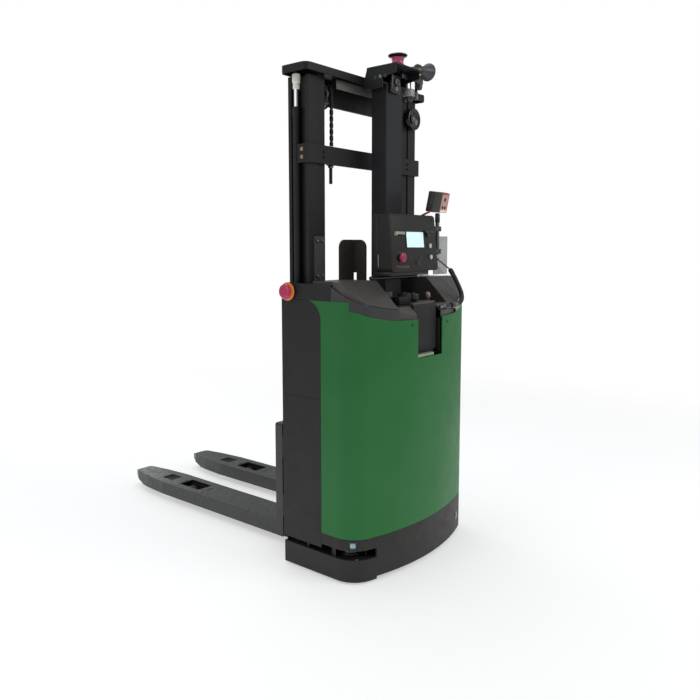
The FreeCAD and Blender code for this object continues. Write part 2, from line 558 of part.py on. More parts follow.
# ---------------------------------------------------------------- forks and carriage
FORK_START = f"({HEEL} - heel_thick)"
for which, side in SIDES:
    middle = f"{side} * {FORK_X}"
    half = "fork_width / 2"
    blade_plan = plate(f"fork_{which}_plan", "XY_Plane",
                       [(f"{middle} - {half}", FORK_START), (f"{middle} + {half}", FORK_START),
                        (f"{middle} + {half}", f"{TIP} - fork_taper"),
                        (f"{middle} + {half} * 0.84", f"{TIP} - fork_taper / 2"),
                        (f"{middle} + {half} * 0.62", f"{TIP} - fork_taper / 7"),
                        (f"{middle} + fork_nose_half", TIP), (f"{middle} - fork_nose_half", TIP),
                        (f"{middle} - {half} * 0.62", f"{TIP} - fork_taper / 7"),
                        (f"{middle} - {half} * 0.84", f"{TIP} - fork_taper / 2"),
                        (f"{middle} - {half}", f"{TIP} - fork_taper")], "fork_low", "fork_top")
    blade_side = plate(f"fork_{which}_side", "YZ_Plane",
                       [(FORK_START, "fork_low"), (f"{TIP} - fork_taper / 3", "fork_low"),
                        (TIP, "fork_nose_low"), (TIP, "fork_top - 8"),
                        (f"{TIP} - fork_taper / 12", "fork_top"), (FORK_START, "fork_top")],
                       f"{middle} - fork_width", f"{middle} + fork_width")
    heel = slab(f"fork_{which}_heel", (f"{middle} - {half}", f"{middle} + {half}"),
                (FORK_START, HEEL), ("fork_low", "heel_top"))
    doc.recompute()
    box = heel.Shape.BoundBox
    shoulder = lambda edge: (edge.CenterOfMass.z > box.ZMax - 1 and edge.Length < box.XLength - 1)
    heel_round = rounded(f"fork_{which}_heel_round", heel, size("heel_round"), shoulder)
    void = slab(f"fork_{which}_void",
                (f"{middle} - ({half} - fork_wall)", f"{middle} + {half} - fork_wall"),
                (f"{FORK_START} - 1", f"{TIP} - fork_taper"), ("fork_low - 1", "fork_top - fork_plate"))
    nose_void = slab(f"fork_{which}_nose_void",
                     (f"{middle} - {half} * 0.6", f"{middle} + {half} * 0.6"),
                     (f"{TIP} - fork_taper - 1", f"{TIP} - fork_void_end"),
                     ("fork_low - 1", "fork_top - fork_plate"))
    openings = [slab(f"fork_{which}_{word}_opening", (f"{middle} - {word}_cut_wide / 2",
                                                      f"{middle} + {word}_cut_wide / 2"),
                     (f"{TIP} - {word}_cut_back - {word}_cut_long / 2",
                      f"{TIP} - {word}_cut_back + {word}_cut_long / 2"),
                     ("fork_top - fork_plate - 1", "fork_top + 1")) for word in ("large", "small")]
    blade = common(f"fork_{which}_blade", blade_plan, blade_side)
    finish(cut(f"fork_{which}_solid", fuse(f"fork_{which}_whole", blade, heel_round), void, nose_void,
               *openings), f"fork_{which}")

BAR_FRONT = FORK_START
BAR_REAR = f"({FORK_START} - bar_thick)"
CARRIAGE_REAR = f"({FRONT} - carriage_back)"
CHANNEL_Y = f"({MAST_FRONT} - mast_depth / 2)"
carriage_pieces = [slab(f"carriage_bar_{word}", ("-forks_outer / 2", "forks_outer / 2"),
                        (BAR_REAR, BAR_FRONT), (low, f"{low} + bar_height"))
                   for word, low in (("low", "bar_low"), ("high", "bar_high_low"))]
for which, side in SIDES:
    carriage_pieces.append(slab(f"carriage_cheek_{which}",
                                mirrored(("carriage_half - carriage_cheek", "carriage_half"), side),
                                (CARRIAGE_REAR, BAR_REAR), ("carriage_low", "carriage_high")))
    chain_x = mirrored(("sheave_offset - chain_width / 2", "carriage_half - carriage_cheek"), side)
    carriage_pieces.append(slab(f"chain_lug_{which}", chain_x,
                                (f"{CHAIN_FRONT} - chain_thick",
                                 f"{CHAIN_FRONT} + chain_thick"),
                                ("chain_lug_low", "chain_lug_high")))
    for step in (0, 1):
        low_x = "carriage_half" if side > 0 else "-(carriage_half + carriage_roller_width + 8)"
        carriage_pieces.append(rod(f"carriage_roller_{which}_{step}", "x",
                                   f"{low_x} + {8 if side > 0 else 0}", CHANNEL_Y,
                                   f"carriage_roller_low + {step} * carriage_roller_step",
                                   "carriage_roller_radius", "carriage_roller_width"))
        carriage_pieces.append(rod(f"carriage_stub_{which}_{step}", "x", low_x, CHANNEL_Y,
                                   f"carriage_roller_low + {step} * carriage_roller_step",
                                   "carriage_roller_radius / 2", "carriage_roller_width + 8"))
finish(fuse("carriage_solid", *carriage_pieces), "carriage")

# ---------------------------------------------------------------- mast
def channel(name, side, outer, width, web_in, web, flange, rear, front, low, high):
    """A rolled mast section: two flanges across the mast's depth, joined by a web."""
    block = slab(name + "_block", mirrored((f"{outer} - {width}", outer), side), (rear, front),
                 (low, high))
    pockets = []
    if web_in != "0":
        pockets.append(slab(name + "_outer_pocket", mirrored((f"{outer} - ({web_in})", f"{outer} + 1"), side),
                            (f"{rear} + {flange}", f"{front} - {flange}"),
                            (f"{low} - 1", f"{high} + 1")))
    pockets.append(slab(name + "_inner_pocket",
                        mirrored((f"{outer} - {width} - 1", f"{outer} - ({web_in}) - {web}"), side),
                        (f"{rear} + {flange}", f"{front} - {flange}"), (f"{low} - 1", f"{high} + 1")))
    return cut(name, block, *pockets)


INNER_REAR = f"({MAST_REAR} + inner_inset)"
INNER_FRONT = f"({MAST_FRONT} - inner_inset)"
outer_uprights, inner_uprights = [], []
for which, side in SIDES:
    outer_uprights.append(channel(f"outer_upright_{which}", side, "outer_half", "outer_width",
                                  "outer_web_in", "outer_web", "outer_flange", MAST_REAR, MAST_FRONT,
                                  "base_height", "outer_top"))
    inner = channel(f"inner_section_{which}", side, "inner_half", "inner_width", "0", "inner_web",
                    "inner_flange", INNER_REAR, INNER_FRONT, "inner_low", "inner_top")
    low_x = "inner_half - 1" if side > 0 else "-(inner_half + guide_roller_width)"
    guides = [rod(f"guide_{which}_{step}", "x", low_x, CHANNEL_Y,
                  f"guide_roller_low + {step} * guide_roller_step", "guide_roller_radius",
                  "guide_roller_width + 1") for step in (0, 1)]
    inner_uprights.append(fuse(f"inner_upright_{which}", inner, *guides))
finish(group("outer_uprights_solid", *outer_uprights), "outer_uprights")
finish(group("inner_uprights_solid", *inner_uprights), "inner_uprights")

tie_plate = slab("tie_plate", ("-(outer_half + tie_side_gap + tie_cheek)",
                               "outer_half + tie_side_gap + tie_cheek"),
                 (f"{MAST_REAR} - beam_plate", MAST_REAR), ("tie_low", "tie_high"))
tie_pieces = []
for which, side in SIDES:
    tie_pieces.append(slab(f"tie_cheek_{which}",
                           mirrored(("outer_half + tie_side_gap",
                                     "outer_half + tie_side_gap + tie_cheek"), side),
                           (MAST_REAR, f"{MAST_REAR} + tie_cheek_reach"), ("tie_low", "tie_high")))
    tie_pieces.append(slab(f"chain_anchor_{which}",
                           mirrored(("sheave_offset - chain_width / 2 - 2",
                                     "sheave_offset + chain_width / 2 + 2"), side),
                           (MAST_REAR, f"{CHAIN_REAR} + chain_thick"),
                           ("tie_low", "chain_low")))
    tie_pieces.append(rod(f"chain_rod_{which}", "z", f"{side} * sheave_offset",
                          CHAIN_REAR, "chain_rod_low", "chain_rod_radius",
                          "tie_low - chain_rod_low + 4"))
low_tie = slab("low_tie", ("-outer_half", "outer_half"), (f"{MAST_REAR} - beam_plate", MAST_REAR),
               ("base_height", "tie_foot_high"))
finish(group("outer_ties_solid", fuse("upper_tie", tie_plate, *tie_pieces), low_tie), "outer_ties")

tubes, rods = [], []
for which, side in SIDES:
    here = (f"{side} * cylinder_offset", f"{FRONT} - cylinder_back")
    body = rod(f"tube_{which}_body", "z", *here, "base_height", "tube_outer", "tube_top - base_height")
    gland = rod(f"tube_{which}_gland", "z", *here, "tube_top - gland_height", "gland_radius",
                "gland_height")
    bore = rod(f"tube_{which}_bore", "z", *here, "base_height + 30", "tube_bore",
               "tube_top - gland_height - base_height - 30")
    mouth = rod(f"tube_{which}_mouth", "z", *here, "tube_top - gland_height - 1",
                "rod_radius + shaft_gap", "gland_height + 2")
    tubes.append(cut(f"tube_{which}", fuse(f"tube_{which}_whole", body, gland), bore, mouth))
    shaft = rod(f"rod_{which}_shaft", "z", *here, "rod_low", "rod_radius", "pan_low - rod_low")
    piston = rod(f"rod_{which}_piston", "z", *here, "rod_low", "tube_bore - running_gap", "40")
    eye = rod(f"rod_{which}_eye", "z", *here, "rod_end_low", "rod_end_radius",
              "inner_top - rod_end_low")
    rods.append(fuse(f"rod_{which}", shaft, piston, eye))
finish(group("cylinder_tubes_solid", *tubes), "cylinder_tubes")
finish(group("cylinder_rods_solid", *rods), "cylinder_rods")

pan_block = slab("pan_block", ("-pan_half", "pan_half"), (f"{FRONT} - pan_depth", FRONT),
                 ("pan_low", "inner_top + pan_sheet"))
pan_outer = rounded("pan_outer", pan_block, size("pan_round"), upright)
pan_hollow_block = slab("pan_hollow_block", ("-(pan_half - pan_sheet)", "pan_half - pan_sheet"),
                        (f"{FRONT} - pan_depth + pan_sheet", f"{FRONT} - pan_sheet"),
                        ("pan_low - 1", "inner_top"))
pan_hollow = rounded("pan_hollow", pan_hollow_block, size("pan_round") - size("pan_sheet"), upright)
finish(cut("mast_crosshead_solid", pan_outer, pan_hollow), "mast_crosshead")

BEAM_REAR = f"({FRONT} - high_beam_back)"
high_beam = slab("high_beam", ("-(sheave_offset - sheave_width / 2 - 6)",
                               "sheave_offset - sheave_width / 2 - 6"),
                 (BEAM_REAR, f"{BEAM_REAR} + beam_plate"), ("high_beam_low", "high_beam_high"))
beam_web = slab("beam_web", ("-pan_web_half", "pan_web_half"), (BEAM_REAR, f"{BEAM_REAR} + beam_plate"),
                ("high_beam_high", "inner_top"))
low_beam = slab("low_beam", ("-(inner_half - inner_width)", "inner_half - inner_width"),
                (INNER_REAR, f"{INNER_REAR} + low_beam_thick"), ("low_beam_low", "low_beam_high"))
sheave_pins = [rod(f"sheave_pin_{which}", "x",
                   "sheave_offset - sheave_width / 2 - 18" if side > 0 else "-(inner_half - inner_web)",
                   SHEAVE_Y, "sheave_height", "sheave_pin",
                   "inner_half - inner_web - sheave_offset + sheave_width / 2 + 18")
               for which, side in SIDES]
finish(group("inner_cross_solid", fuse("inner_high_cross", high_beam, beam_web, *sheave_pins), low_beam),
       "inner_cross")

sheaves, wraps = [], []
for which, side in SIDES:
    start = f"{side} * sheave_offset - sheave_width / 2"
    disc = rod(f"sheave_{which}_disc", "x", start, SHEAVE_Y, "sheave_height", "sheave_radius",
               "sheave_width")
    ring = rod(f"sheave_{which}_ring", "x", f"{side} * sheave_offset - chain_width / 2 - 1", SHEAVE_Y,
               "sheave_height", "sheave_radius + 1", "chain_width + 2")
    core = rod(f"sheave_{which}_core", "x", f"{side} * sheave_offset - chain_width / 2 - 2", SHEAVE_Y,
               "sheave_height", "sheave_radius - sheave_groove", "chain_width + 4")
    bore = rod(f"sheave_{which}_bore", "x", f"{start} - 1", SHEAVE_Y, "sheave_height",
               "sheave_pin + shaft_gap", "sheave_width + 2")
    grooved = cut(f"sheave_{which}_grooved", disc, cut(f"sheave_{which}_groove", ring, core))
    sheaves.append(cut(f"chain_sheave_{which}", grooved, bore))
    link_x = f"{side} * sheave_offset - chain_width / 2"
    wrap = rod(f"wrap_{which}_outer", "x", link_x, SHEAVE_Y, "sheave_height",
               "chain_reach + chain_thick / 2", "chain_width")
    wrap_hole = rod(f"wrap_{which}_hole", "x", f"{link_x} - 1", SHEAVE_Y, "sheave_height",
                    "chain_reach - chain_thick / 2", "chain_width + 2")
    wrap_below = slab(f"wrap_{which}_below", (f"{link_x} - 1", f"{link_x} + chain_width + 1"),
                      (f"{SHEAVE_Y} - 2 * sheave_radius", f"{SHEAVE_Y} + 2 * sheave_radius"),
                      ("sheave_height - 2 * sheave_radius", "sheave_height"))
    wraps.append(cut(f"chain_wrap_{which}", wrap, wrap_hole, wrap_below))
finish(group("chain_sheaves_solid", *sheaves), "chain_sheaves")
finish(group("chain_wraps_solid", *wraps), "chain_wraps")

rear_runs = [slab(f"rear_run_{which}",
                  (f"{side} * sheave_offset - chain_width / 2", f"{side} * sheave_offset + chain_width / 2"),
                  (f"{CHAIN_REAR} - chain_thick / 2", f"{CHAIN_REAR} + chain_thick / 2"),
                  ("chain_low", "sheave_height")) for which, side in SIDES]
finish(group("chain_rear_solid", *rear_runs), "chain_rear")
front_runs = [slab(f"front_run_{which}",
                   (f"{side} * sheave_offset - chain_width / 2", f"{side} * sheave_offset + chain_width / 2"),
                   (f"{CHAIN_FRONT} - chain_thick / 2", f"{CHAIN_FRONT} + chain_thick / 2"),
                   ("chain_lug_high", "sheave_height")) for which, side in SIDES]
finish(group("chain_front_solid", *front_runs), "chain_front")

# ---------------------------------------------------------------- mast stays and the work lamp
stays = []
for which, side in SIDES:
    leg = slab(f"stay_{which}_leg", mirrored(("stay_in", "stay_in + stay_leg"), side),
               (BULKHEAD, f"{BULKHEAD} + stay_sheet"), ("stay_low", "stay_top"))
    flank = slab(f"stay_{which}_flank", mirrored(("stay_in", "stay_in + stay_sheet"), side),
                 (f"{BULKHEAD} - stay_flank", f"{BULKHEAD} + stay_sheet"),
                 ("valley_floor + seam", "stay_top"))
    slot = slab(f"stay_{which}_slot", mirrored(("stay_in - 1", "stay_in + stay_slot_half"), side),
                (f"{BULKHEAD} - stay_slot_half", f"{BULKHEAD} + stay_sheet + 1"),
                ("stay_slot_low", "stay_slot_high"))
    folded = cut(f"stay_{which}_folded", fuse(f"stay_{which}_sheet", leg, flank), slot)
    doc.recompute()
    outer = size("stay_in") + size("stay_leg")
    rear = flank.Shape.BoundBox.YMin
    top = flank.Shape.BoundBox.ZMax
    corners = lambda edge: (edge.CenterOfMass.z > top - 1 and edge.Length < size("stay_sheet") + 1 and
                            (abs(abs(edge.CenterOfMass.x) - outer) < 1
                             or abs(edge.CenterOfMass.y - rear) < 1))
    stays.append(rounded(f"stay_{which}", folded, size("stay_round"), corners))
    pad = slab(f"pad_{which}", mirrored(("pad_in", "pad_out"), side),
               (f"{MAST_REAR} - pad_thick", MAST_REAR), ("pad_low", "pad_high"))
    bolts = [rod(f"pad_bolt_{which}_{step}", "y", f"{side} * (pad_in + pad_out) / 2",
                 f"{MAST_REAR} - pad_thick - 5",
                 f"pad_low + bolt_inset + {step} * (pad_high - pad_low - 2 * bolt_inset)",
                 "bolt_head", "6") for step in (0, 1)]
    stays.append(fuse(f"stay_pad_{which}", pad, *bolts))
finish(group("mast_stays_solid", *stays), "mast_stays")

lamp_disc = rod("lamp_disc", "y", "work_lamp_offset", f"{MAST_REAR} - work_lamp_depth",
                "work_lamp_height", "work_lamp_radius", "work_lamp_depth")
lamp_dish = cone("lamp_dish", "y", "work_lamp_offset", f"{MAST_REAR} - work_lamp_depth - 0.1",
                 "work_lamp_height", "work_lamp_radius - work_lamp_rim", "work_lamp_radius / 3",
                 "work_lamp_dish")
finish(cut("work_lamp_solid", lamp_disc, lamp_dish), "work_lamp")

# ---------------------------------------------------------------- sensor post and head
POST_FRONT = f"({FRONT} - post_front)"
POST_REAR = f"({POST_FRONT} - post_depth)"
post_box = slab("post_box", ("-post_width / 2", "post_width / 2"), (POST_REAR, POST_FRONT),
                ("bulkhead_top", "post_top"))
post_hollow = slab("post_hollow", ("-(post_width / 2 - post_wall)", "post_width / 2 - post_wall"),
                   (f"{POST_REAR} + post_wall", f"{POST_FRONT} - post_wall"),
                   ("bulkhead_top - 1", "post_top + 1"))
finish(cut("sensor_post_solid", post_box, post_hollow), "sensor_post")

PLATE_FRONT = f"({FRONT} - plate_front)"
PLATE_REAR = f"({FRONT} - plate_back)"
top_plate = slab("head_plate", ("-plate_left", "plate_right"),
                 (PLATE_REAR, f"{PLATE_FRONT} - cheek_slant"),
                 ("plate_low", "plate_low + plate_thick"))


def cheek_points(low):
    """Outline of a cheek of the head bracket, from its low edge up to the plate."""
    return [(PLATE_FRONT, low), (PLATE_FRONT, "plate_low - cheek_shoulder"),
            (f"{PLATE_FRONT} - cheek_slant", "plate_low"), (PLATE_REAR, "plate_low"),
            (PLATE_REAR, "cheek_notch"), (POST_REAR, "cheek_notch - 10"), (POST_REAR, low)]


left_cheek = plate("head_cheek_left", "YZ_Plane", cheek_points("cheek_low"), "-plate_left",
                   "-(plate_left - cheek_sheet)")
right_cheek = plate("head_cheek_right", "YZ_Plane", cheek_points("cheek_right_low"),
                    "plate_left - cheek_sheet", "plate_left")
front_web = slab("head_web", ("-plate_left", "plate_left"),
                 (f"{POST_FRONT} + running_gap", f"{POST_FRONT} + running_gap + cheek_sheet"),
                 ("cheek_low", "plate_low"))
seat = slab("head_seat", ("-plate_left", "plate_left"), (POST_REAR, f"{POST_FRONT} + running_gap + 1"),
            ("post_top", "post_top + plate_thick"))
arm = slab("head_arm", ("plate_right - 1", "arm_reach"),
           (f"{FRONT} - horn_back - arm_width / 2", f"{FRONT} - horn_back + arm_width / 2"),
           ("plate_low", "plate_low + plate_thick"))
finish(fuse("head_bracket_solid", top_plate, left_cheek, right_cheek, front_web, seat, arm),
       "head_bracket")

LIDAR = ("lidar_x", f"{FRONT} - lidar_back", "plate_low + plate_thick")
BASE = "lidar_base"
NECK = "lidar_base + lidar_tall / 2"
HEAD = "lidar_base + lidar_tall"
window = turned("lidar_window_body",
                [("rotor_pin", "0"), ("lidar_foot", "0"), ("lidar_foot", BASE), ("lidar_waist", NECK),
                 ("lidar_head", HEAD), ("lidar_head - lidar_wall", HEAD),
                 ("lidar_waist - lidar_wall", NECK), ("lidar_foot - lidar_wall", BASE),
                 ("rotor_pin", BASE)], *LIDAR)
finish(window, "lidar_window")
rotor = turned("lidar_rotor_body",
               [("0", f"{BASE} + running_gap"), ("rotor_radius", f"{BASE} + running_gap"),
                ("rotor_radius", f"{BASE} + rotor_tall"), ("0", f"{BASE} + rotor_tall")], *LIDAR)
finish(rotor, "lidar_rotor")
cap = turned("lidar_cap_body",
             [("0", HEAD), ("lidar_cap_radius", HEAD),
              ("lidar_cap_radius", f"{HEAD} + lidar_cap_tall / 2"),
              ("lidar_cap_radius * 0.45", f"{HEAD} + lidar_cap_tall"), ("0", f"{HEAD} + lidar_cap_tall")],
             *LIDAR)
finish(cap, "lidar_cap")

horn_y = f"{FRONT} - horn_back"
HORN_Z = "(plate_low + plate_thick + horn_lift)"
horn_outer = cone("horn_outer", "x", "horn_x", horn_y, HORN_Z, "horn_throat", "horn_mouth",
                  "horn_long")
horn_hollow = cone("horn_hollow", "x", "horn_x + horn_long / 3", horn_y, HORN_Z,
                   "horn_throat", "horn_mouth - horn_wall", "horn_long * 2 / 3 + 0.1")
horn_driver = rod("horn_driver", "x", "horn_x - 24", horn_y, HORN_Z, "horn_throat + 4", "26")
horn_foot = slab("horn_foot", ("horn_x - 20", "horn_x - 10"),
                 (f"{horn_y} - 8", f"{horn_y} + 8"), ("plate_low + plate_thick", f"{HORN_Z} - 8"))
finish(fuse("horn_solid", cut("horn_bell", horn_outer, horn_hollow), horn_driver, horn_foot), "horn")

camera_box = slab("camera_box", ("camera_x - camera_wide / 2", "camera_x + camera_wide / 2"),
                  (f"{POST_REAR} - camera_deep", f"{POST_REAR} - running_gap"),
                  ("camera_height - camera_tall + 30", "camera_height + 30"))
lens = rod("camera_lens", "y", "camera_x", f"{POST_REAR} - camera_deep - lens_deep", "camera_height",
           "lens_radius", "lens_deep + 1")
small_lens = rod("camera_small_lens", "y", "camera_x", f"{POST_REAR} - camera_deep - lens_deep / 2",
                 "camera_height - small_lens_drop", "small_lens_radius", "lens_deep / 2 + 1")
finish(fuse("rear_camera_solid", camera_box, lens, small_lens), "rear_camera")

nav = ("nav_x", f"{FRONT} - nav_back")
nav_body = rod("nav_body", "z", *nav, "nav_top - nav_tall", "nav_radius", "nav_tall")
nav_dome = cone("nav_dome_form", "z", *nav, "nav_top - nav_tall - nav_dome", "nav_radius / 2",
                "nav_radius - 2", "nav_dome")
nav_prongs = [rod(f"nav_prong_{word}", "z", f"nav_x + {sign} * nav_radius / 2", nav[1], "nav_top",
                  "nav_prong / 2", "plate_low - nav_top") for word, sign in (("left", -1), ("right", 1))]
finish(fuse("nav_sensor_solid", nav_body, nav_dome, *nav_prongs), "nav_sensor")

# ---------------------------------------------------------------- control box
BOX_FRONT = f"({POST_REAR} - box_gap)"
BOX_HIGH = f"({BOX_FRONT} - box_deep_high)"
BOX_LOW = f"({BOX_FRONT} - box_deep_low)"
box_body = plate("control_box_body", "YZ_Plane",
                 [(BOX_FRONT, "box_low"), (BOX_FRONT, "box_high"), (BOX_HIGH, "box_high"),
                  (BOX_LOW, "box_low")], "-box_half", "box_half")
doc.recompute()
frame_box = box_body.Shape.BoundBox
corner = lambda edge: abs(abs(edge.CenterOfMass.x) - frame_box.XMax) < 1 and \
    abs(edge.tangentAt(edge.FirstParameter).y) > 0.9
round_edges(box_body, "box_round", corner)


def panel_y(height):
    """Y of the tilted panel face at a height."""
    return (f"({BOX_LOW} + (box_deep_low - box_deep_high) * (({height}) - box_low) "
            f"/ (box_high - box_low))")


box_mount = slab("box_mount", ("-box_mount_half", "box_mount_half"), (f"{BOX_FRONT} - 1", POST_REAR),
                 ("box_mount_low", "box_mount_high"))
panel_bores = [rod("panel_stop_bore", "y", "-panel_stop_x", f"{panel_y('panel_stop_z')} - 10",
                   "panel_stop_z", "stop_stem + shaft_gap", "stop_depth + 10"),
               rod("key_bore", "y", "key_x", f"{panel_y('key_z')} - 10", "key_z",
                   "key_radius + shaft_gap", "key_depth + 10")]
panel_bores += [rod(f"button_bore_{word}", "y", "button_x", f"{panel_y(f'button_{word}_z')} - 10",
                    f"button_{word}_z", "button_radius + shaft_gap", "button_depth + 10")
                for word in ("high", "low")]
latch_points = [(panel_y("latch_z - latch_tall / 2"), "latch_z - latch_tall / 2"),
                (panel_y("latch_z + latch_tall / 2"), "latch_z + latch_tall / 2"),
                (f"{panel_y('latch_z')} - latch_out", "latch_z + latch_tall / 2"),
                (f"{panel_y('latch_z')} - latch_out", "latch_z - latch_tall / 2")]
latches = [plate(f"latch_{which}", "YZ_Plane", latch_points,
                 *mirrored(("latch_x - latch_half / 2", "latch_x + latch_half / 2"), side))
           for which, side in SIDES]
box_gland = rod("box_gland", "x", "box_half - 1", f"{FRONT} - lead_back", "lead_height",
                "box_gland_radius", "gland_out + 1")
finish(cut("control_box_solid", fuse("control_box_whole", box_body, box_mount, box_gland, *latches),
           *panel_bores), "control_box")

screen_points = [(f"{panel_y('screen_low')}", "screen_low"), (f"{panel_y('screen_high')}", "screen_high"),
                 (f"{panel_y('screen_high')} - screen_thick", "screen_high"),
                 (f"{panel_y('screen_low')} - screen_thick", "screen_low")]
finish(plate("display_screen_body", "YZ_Plane", screen_points, "screen_x - screen_half",
             "screen_x + screen_half"), "display_screen")

def push_head(name, axis_x, height, face, radius, out, stem, depth):
    """A push button seen from behind: its head stands out of the panel and its stem enters it."""
    head = rod(name + "_head", "y", axis_x, f"{face} - ({out})", height, radius, f"({out}) - seam")
    pin = rod(name + "_stem", "y", axis_x, f"{face} - ({out}) + 1", height, stem, f"({depth}) + ({out}) - 1")
    return fuse(name, head, pin)


PANEL_STOP_FACE = panel_y("panel_stop_z")
finish(push_head("panel_stop_solid", "-panel_stop_x", "panel_stop_z",
                 f"{PANEL_STOP_FACE} - collar_thick - stop_travel", "stop_radius", "stop_head", "stop_stem",
                 "stop_depth - stop_travel"), "panel_stop")
for word in ("high", "low"):
    height = f"button_{word}_z"
    finish(rod(f"button_{word}_solid", "y", "button_x", f"{panel_y(height)} - button_out", height,
               "button_radius", "button_out + button_depth - button_travel - running_gap"),
           f"button_{word}")
finish(rod("key_switch_solid", "y", "key_x", f"{panel_y('key_z')} - key_out", "key_z", "key_radius",
           "key_out + key_depth - running_gap"), "key_switch")

side_stops, collars = [], []
for which, side in SIDES:
    face = "body_width / 2 + side_boss"
    collar_from = face if side > 0 else f"-({face} + collar_thick)"
    ring = rod(f"collar_{which}_ring", "x", collar_from, STOP_Y, "side_stop_height", "side_collar",
               "collar_thick")
    hole = rod(f"collar_{which}_hole", "x", f"{collar_from} - 1", STOP_Y, "side_stop_height",
               "stop_stem + shaft_gap", "collar_thick + 2")
    collars.append(cut(f"collar_{which}", ring, hole))
    head_from = f"{face} + collar_thick + stop_travel + seam"
    head_x = head_from if side > 0 else f"-({head_from} + stop_head)"
    head = rod(f"side_stop_{which}_head", "x", head_x, STOP_Y, "side_stop_height", "side_stop_radius",
               "stop_head")
    stem_from = "body_width / 2 - stop_depth + stop_travel + seam"
    stem_x = stem_from if side > 0 else f"-({head_from} + 1)"
    stem = rod(f"side_stop_{which}_stem", "x", stem_x, STOP_Y, "side_stop_height", "stop_stem",
               f"({head_from} + 1) - ({stem_from})")
    finish(fuse(f"side_stop_{which}_solid", head, stem), f"side_stop_{which}")
panel_ring = rod("panel_collar_ring", "y", "-panel_stop_x", f"{PANEL_STOP_FACE} - collar_thick - 1",
                 "panel_stop_z", "stop_collar", "collar_thick + 3")
panel_hole = rod("panel_collar_hole", "y", "-panel_stop_x", f"{PANEL_STOP_FACE} - collar_thick - 2",
                 "panel_stop_z", "stop_stem + shaft_gap", "collar_thick + 6")
panel_trim = plate("panel_collar_trim", "YZ_Plane",
                   [(f"{BOX_FRONT} + 10", "box_low"), (f"{BOX_FRONT} + 10", "box_high"),
                    (BOX_HIGH, "box_high"), (BOX_LOW, "box_low")], "-box_half", "box_half")
collars.append(cut("panel_collar", panel_ring, panel_hole, panel_trim))
finish(group("stop_collars_solid", *collars), "stop_collars")

# ---------------------------------------------------------------- signal lamp and shield
TUBE = ("tube_x", f"{FRONT} - tube_back")
lamp_block = slab("lamp_block", ("lamp_x - lamp_half", "lamp_x + lamp_half"),
                  (f"{TUBE[1]} - lamp_deep / 2", f"{TUBE[1]} + lamp_deep / 2"),
                  ("tube_high", "tube_high + lamp_tall"))
lamp_block.Placement.Rotation = FreeCAD.Rotation(X_AXIS, size("lamp_tilt"))
lamp = rounded("signal_lamp_solid", lamp_block, size("lamp_round"),
               lambda edge: abs(edge.tangentAt(edge.FirstParameter).y) > 0.9)
finish(lamp, "signal_lamp")
tube_shaft = cut("lamp_tube_trimmed",
                 rod("lamp_tube", "z", *TUBE, "tube_low", "tube_radius",
                     "tube_high - tube_low + lamp_deep / 2"), lamp)
tube_clamps = [slab(f"tube_clamp_{word}", ("box_half", "tube_x + tube_radius + 4"),
                    (f"{TUBE[1]} - tube_radius - 3", f"{TUBE[1]} + tube_radius + 3"),
                    (f"{low}", f"{low} + clamp_tall"))
               for word, low in (("low", "clamp_low"), ("high", "clamp_high"))]
finish(fuse("lamp_post_solid", tube_shaft, *tube_clamps), "lamp_post")

finish(fuse("side_shield_solid",
            slab("shield_sheet", ("shield_left", "shield_right"),
                 (f"{FRONT} - shield_back", f"{FRONT} - shield_back + shield_thick"),
                 ("shield_low", "shield_high")),
            slab("shield_spacer", ("tube_x - 6", "tube_x + 6"),
                 (f"{TUBE[1]} + tube_radius + running_gap", f"{FRONT} - shield_back + 1"),
                 ("clamp_low + 30", "clamp_low + 42"))), "side_shield")

finish(rod("grab_bar_solid", "x", "-bar_half", f"{FRONT} - bar_back",
           "hood_top + bar_radius + running_gap", "bar_radius", "2 * bar_half"), "grab_bar")

# ---------------------------------------------------------------- cable
# Chosen points of the thin lead and of the conduit that takes it into the top cover: X, distance
# behind the body's front, Z.
LEAD = [(184.3, 352, 1276), (202, 352, 1276), (226, 357, 1263), (256, 361, 1246), (288, 366, 1229)]
CONDUIT = [(288, 366, 1229), (306, 374, 1203), (316, 383, 1177), (321, 395, 1150), (319, 408, 1124),
           (303, 421, 1101), (276, 430, 1087), (250, 434, 1080), (228, 433, 1076), (210.3, 433, 1076)]


def tube_along(points, radius):
    """A round tube along straight runs joined by tangent arcs as large as the runs allow."""
    front = front_value()
    spots = [FreeCAD.Vector(across, front - back, up) for across, back, up in points]
    edges, start = [], spots[0]
    for before, corner, after in zip(spots, spots[1:], spots[2:]):
        arriving, leaving = corner - before, after - corner
        turn = arriving.getAngle(leaving)
        run = min(arriving.Length, leaving.Length)
        reach = 0.45 * run
        bend = reach / math.tan(turn / 2)
        print("cable bend radius", round(bend, 1))
        arriving.normalize()
        leaving.normalize()
        enter, leave = corner - arriving * reach, corner + leaving * reach
        inward = (leaving - arriving).normalize()
        middle = corner + inward * (bend / math.cos(turn / 2) - bend)
        edges += [Part.LineSegment(start, enter).toShape(), Part.Arc(enter, middle, leave).toShape()]
        start = leave
    edges.append(Part.LineSegment(start, spots[-1]).toShape())
    path = Part.Wire(edges)
    section = Part.Wire(Part.makeCircle(radius, spots[0], spots[1] - spots[0]))
    tube = path.makePipeShell([section], True, True)
    expected = math.pi * radius ** 2 * path.Length
    print("cable volume over section times length", round(tube.Volume / expected, 4))
    return tube


def front_value():
    return (size("body_depth") - size("heel_front") - size("fork_length")) / 2


cable = doc.addObject("Part::Feature", "box_cable_solid")
cable.Shape = Part.makeCompound([tube_along(LEAD, size("lead_radius")),
                                 tube_along(CONDUIT, size("conduit_radius"))])
finish(cable, "box_cable")

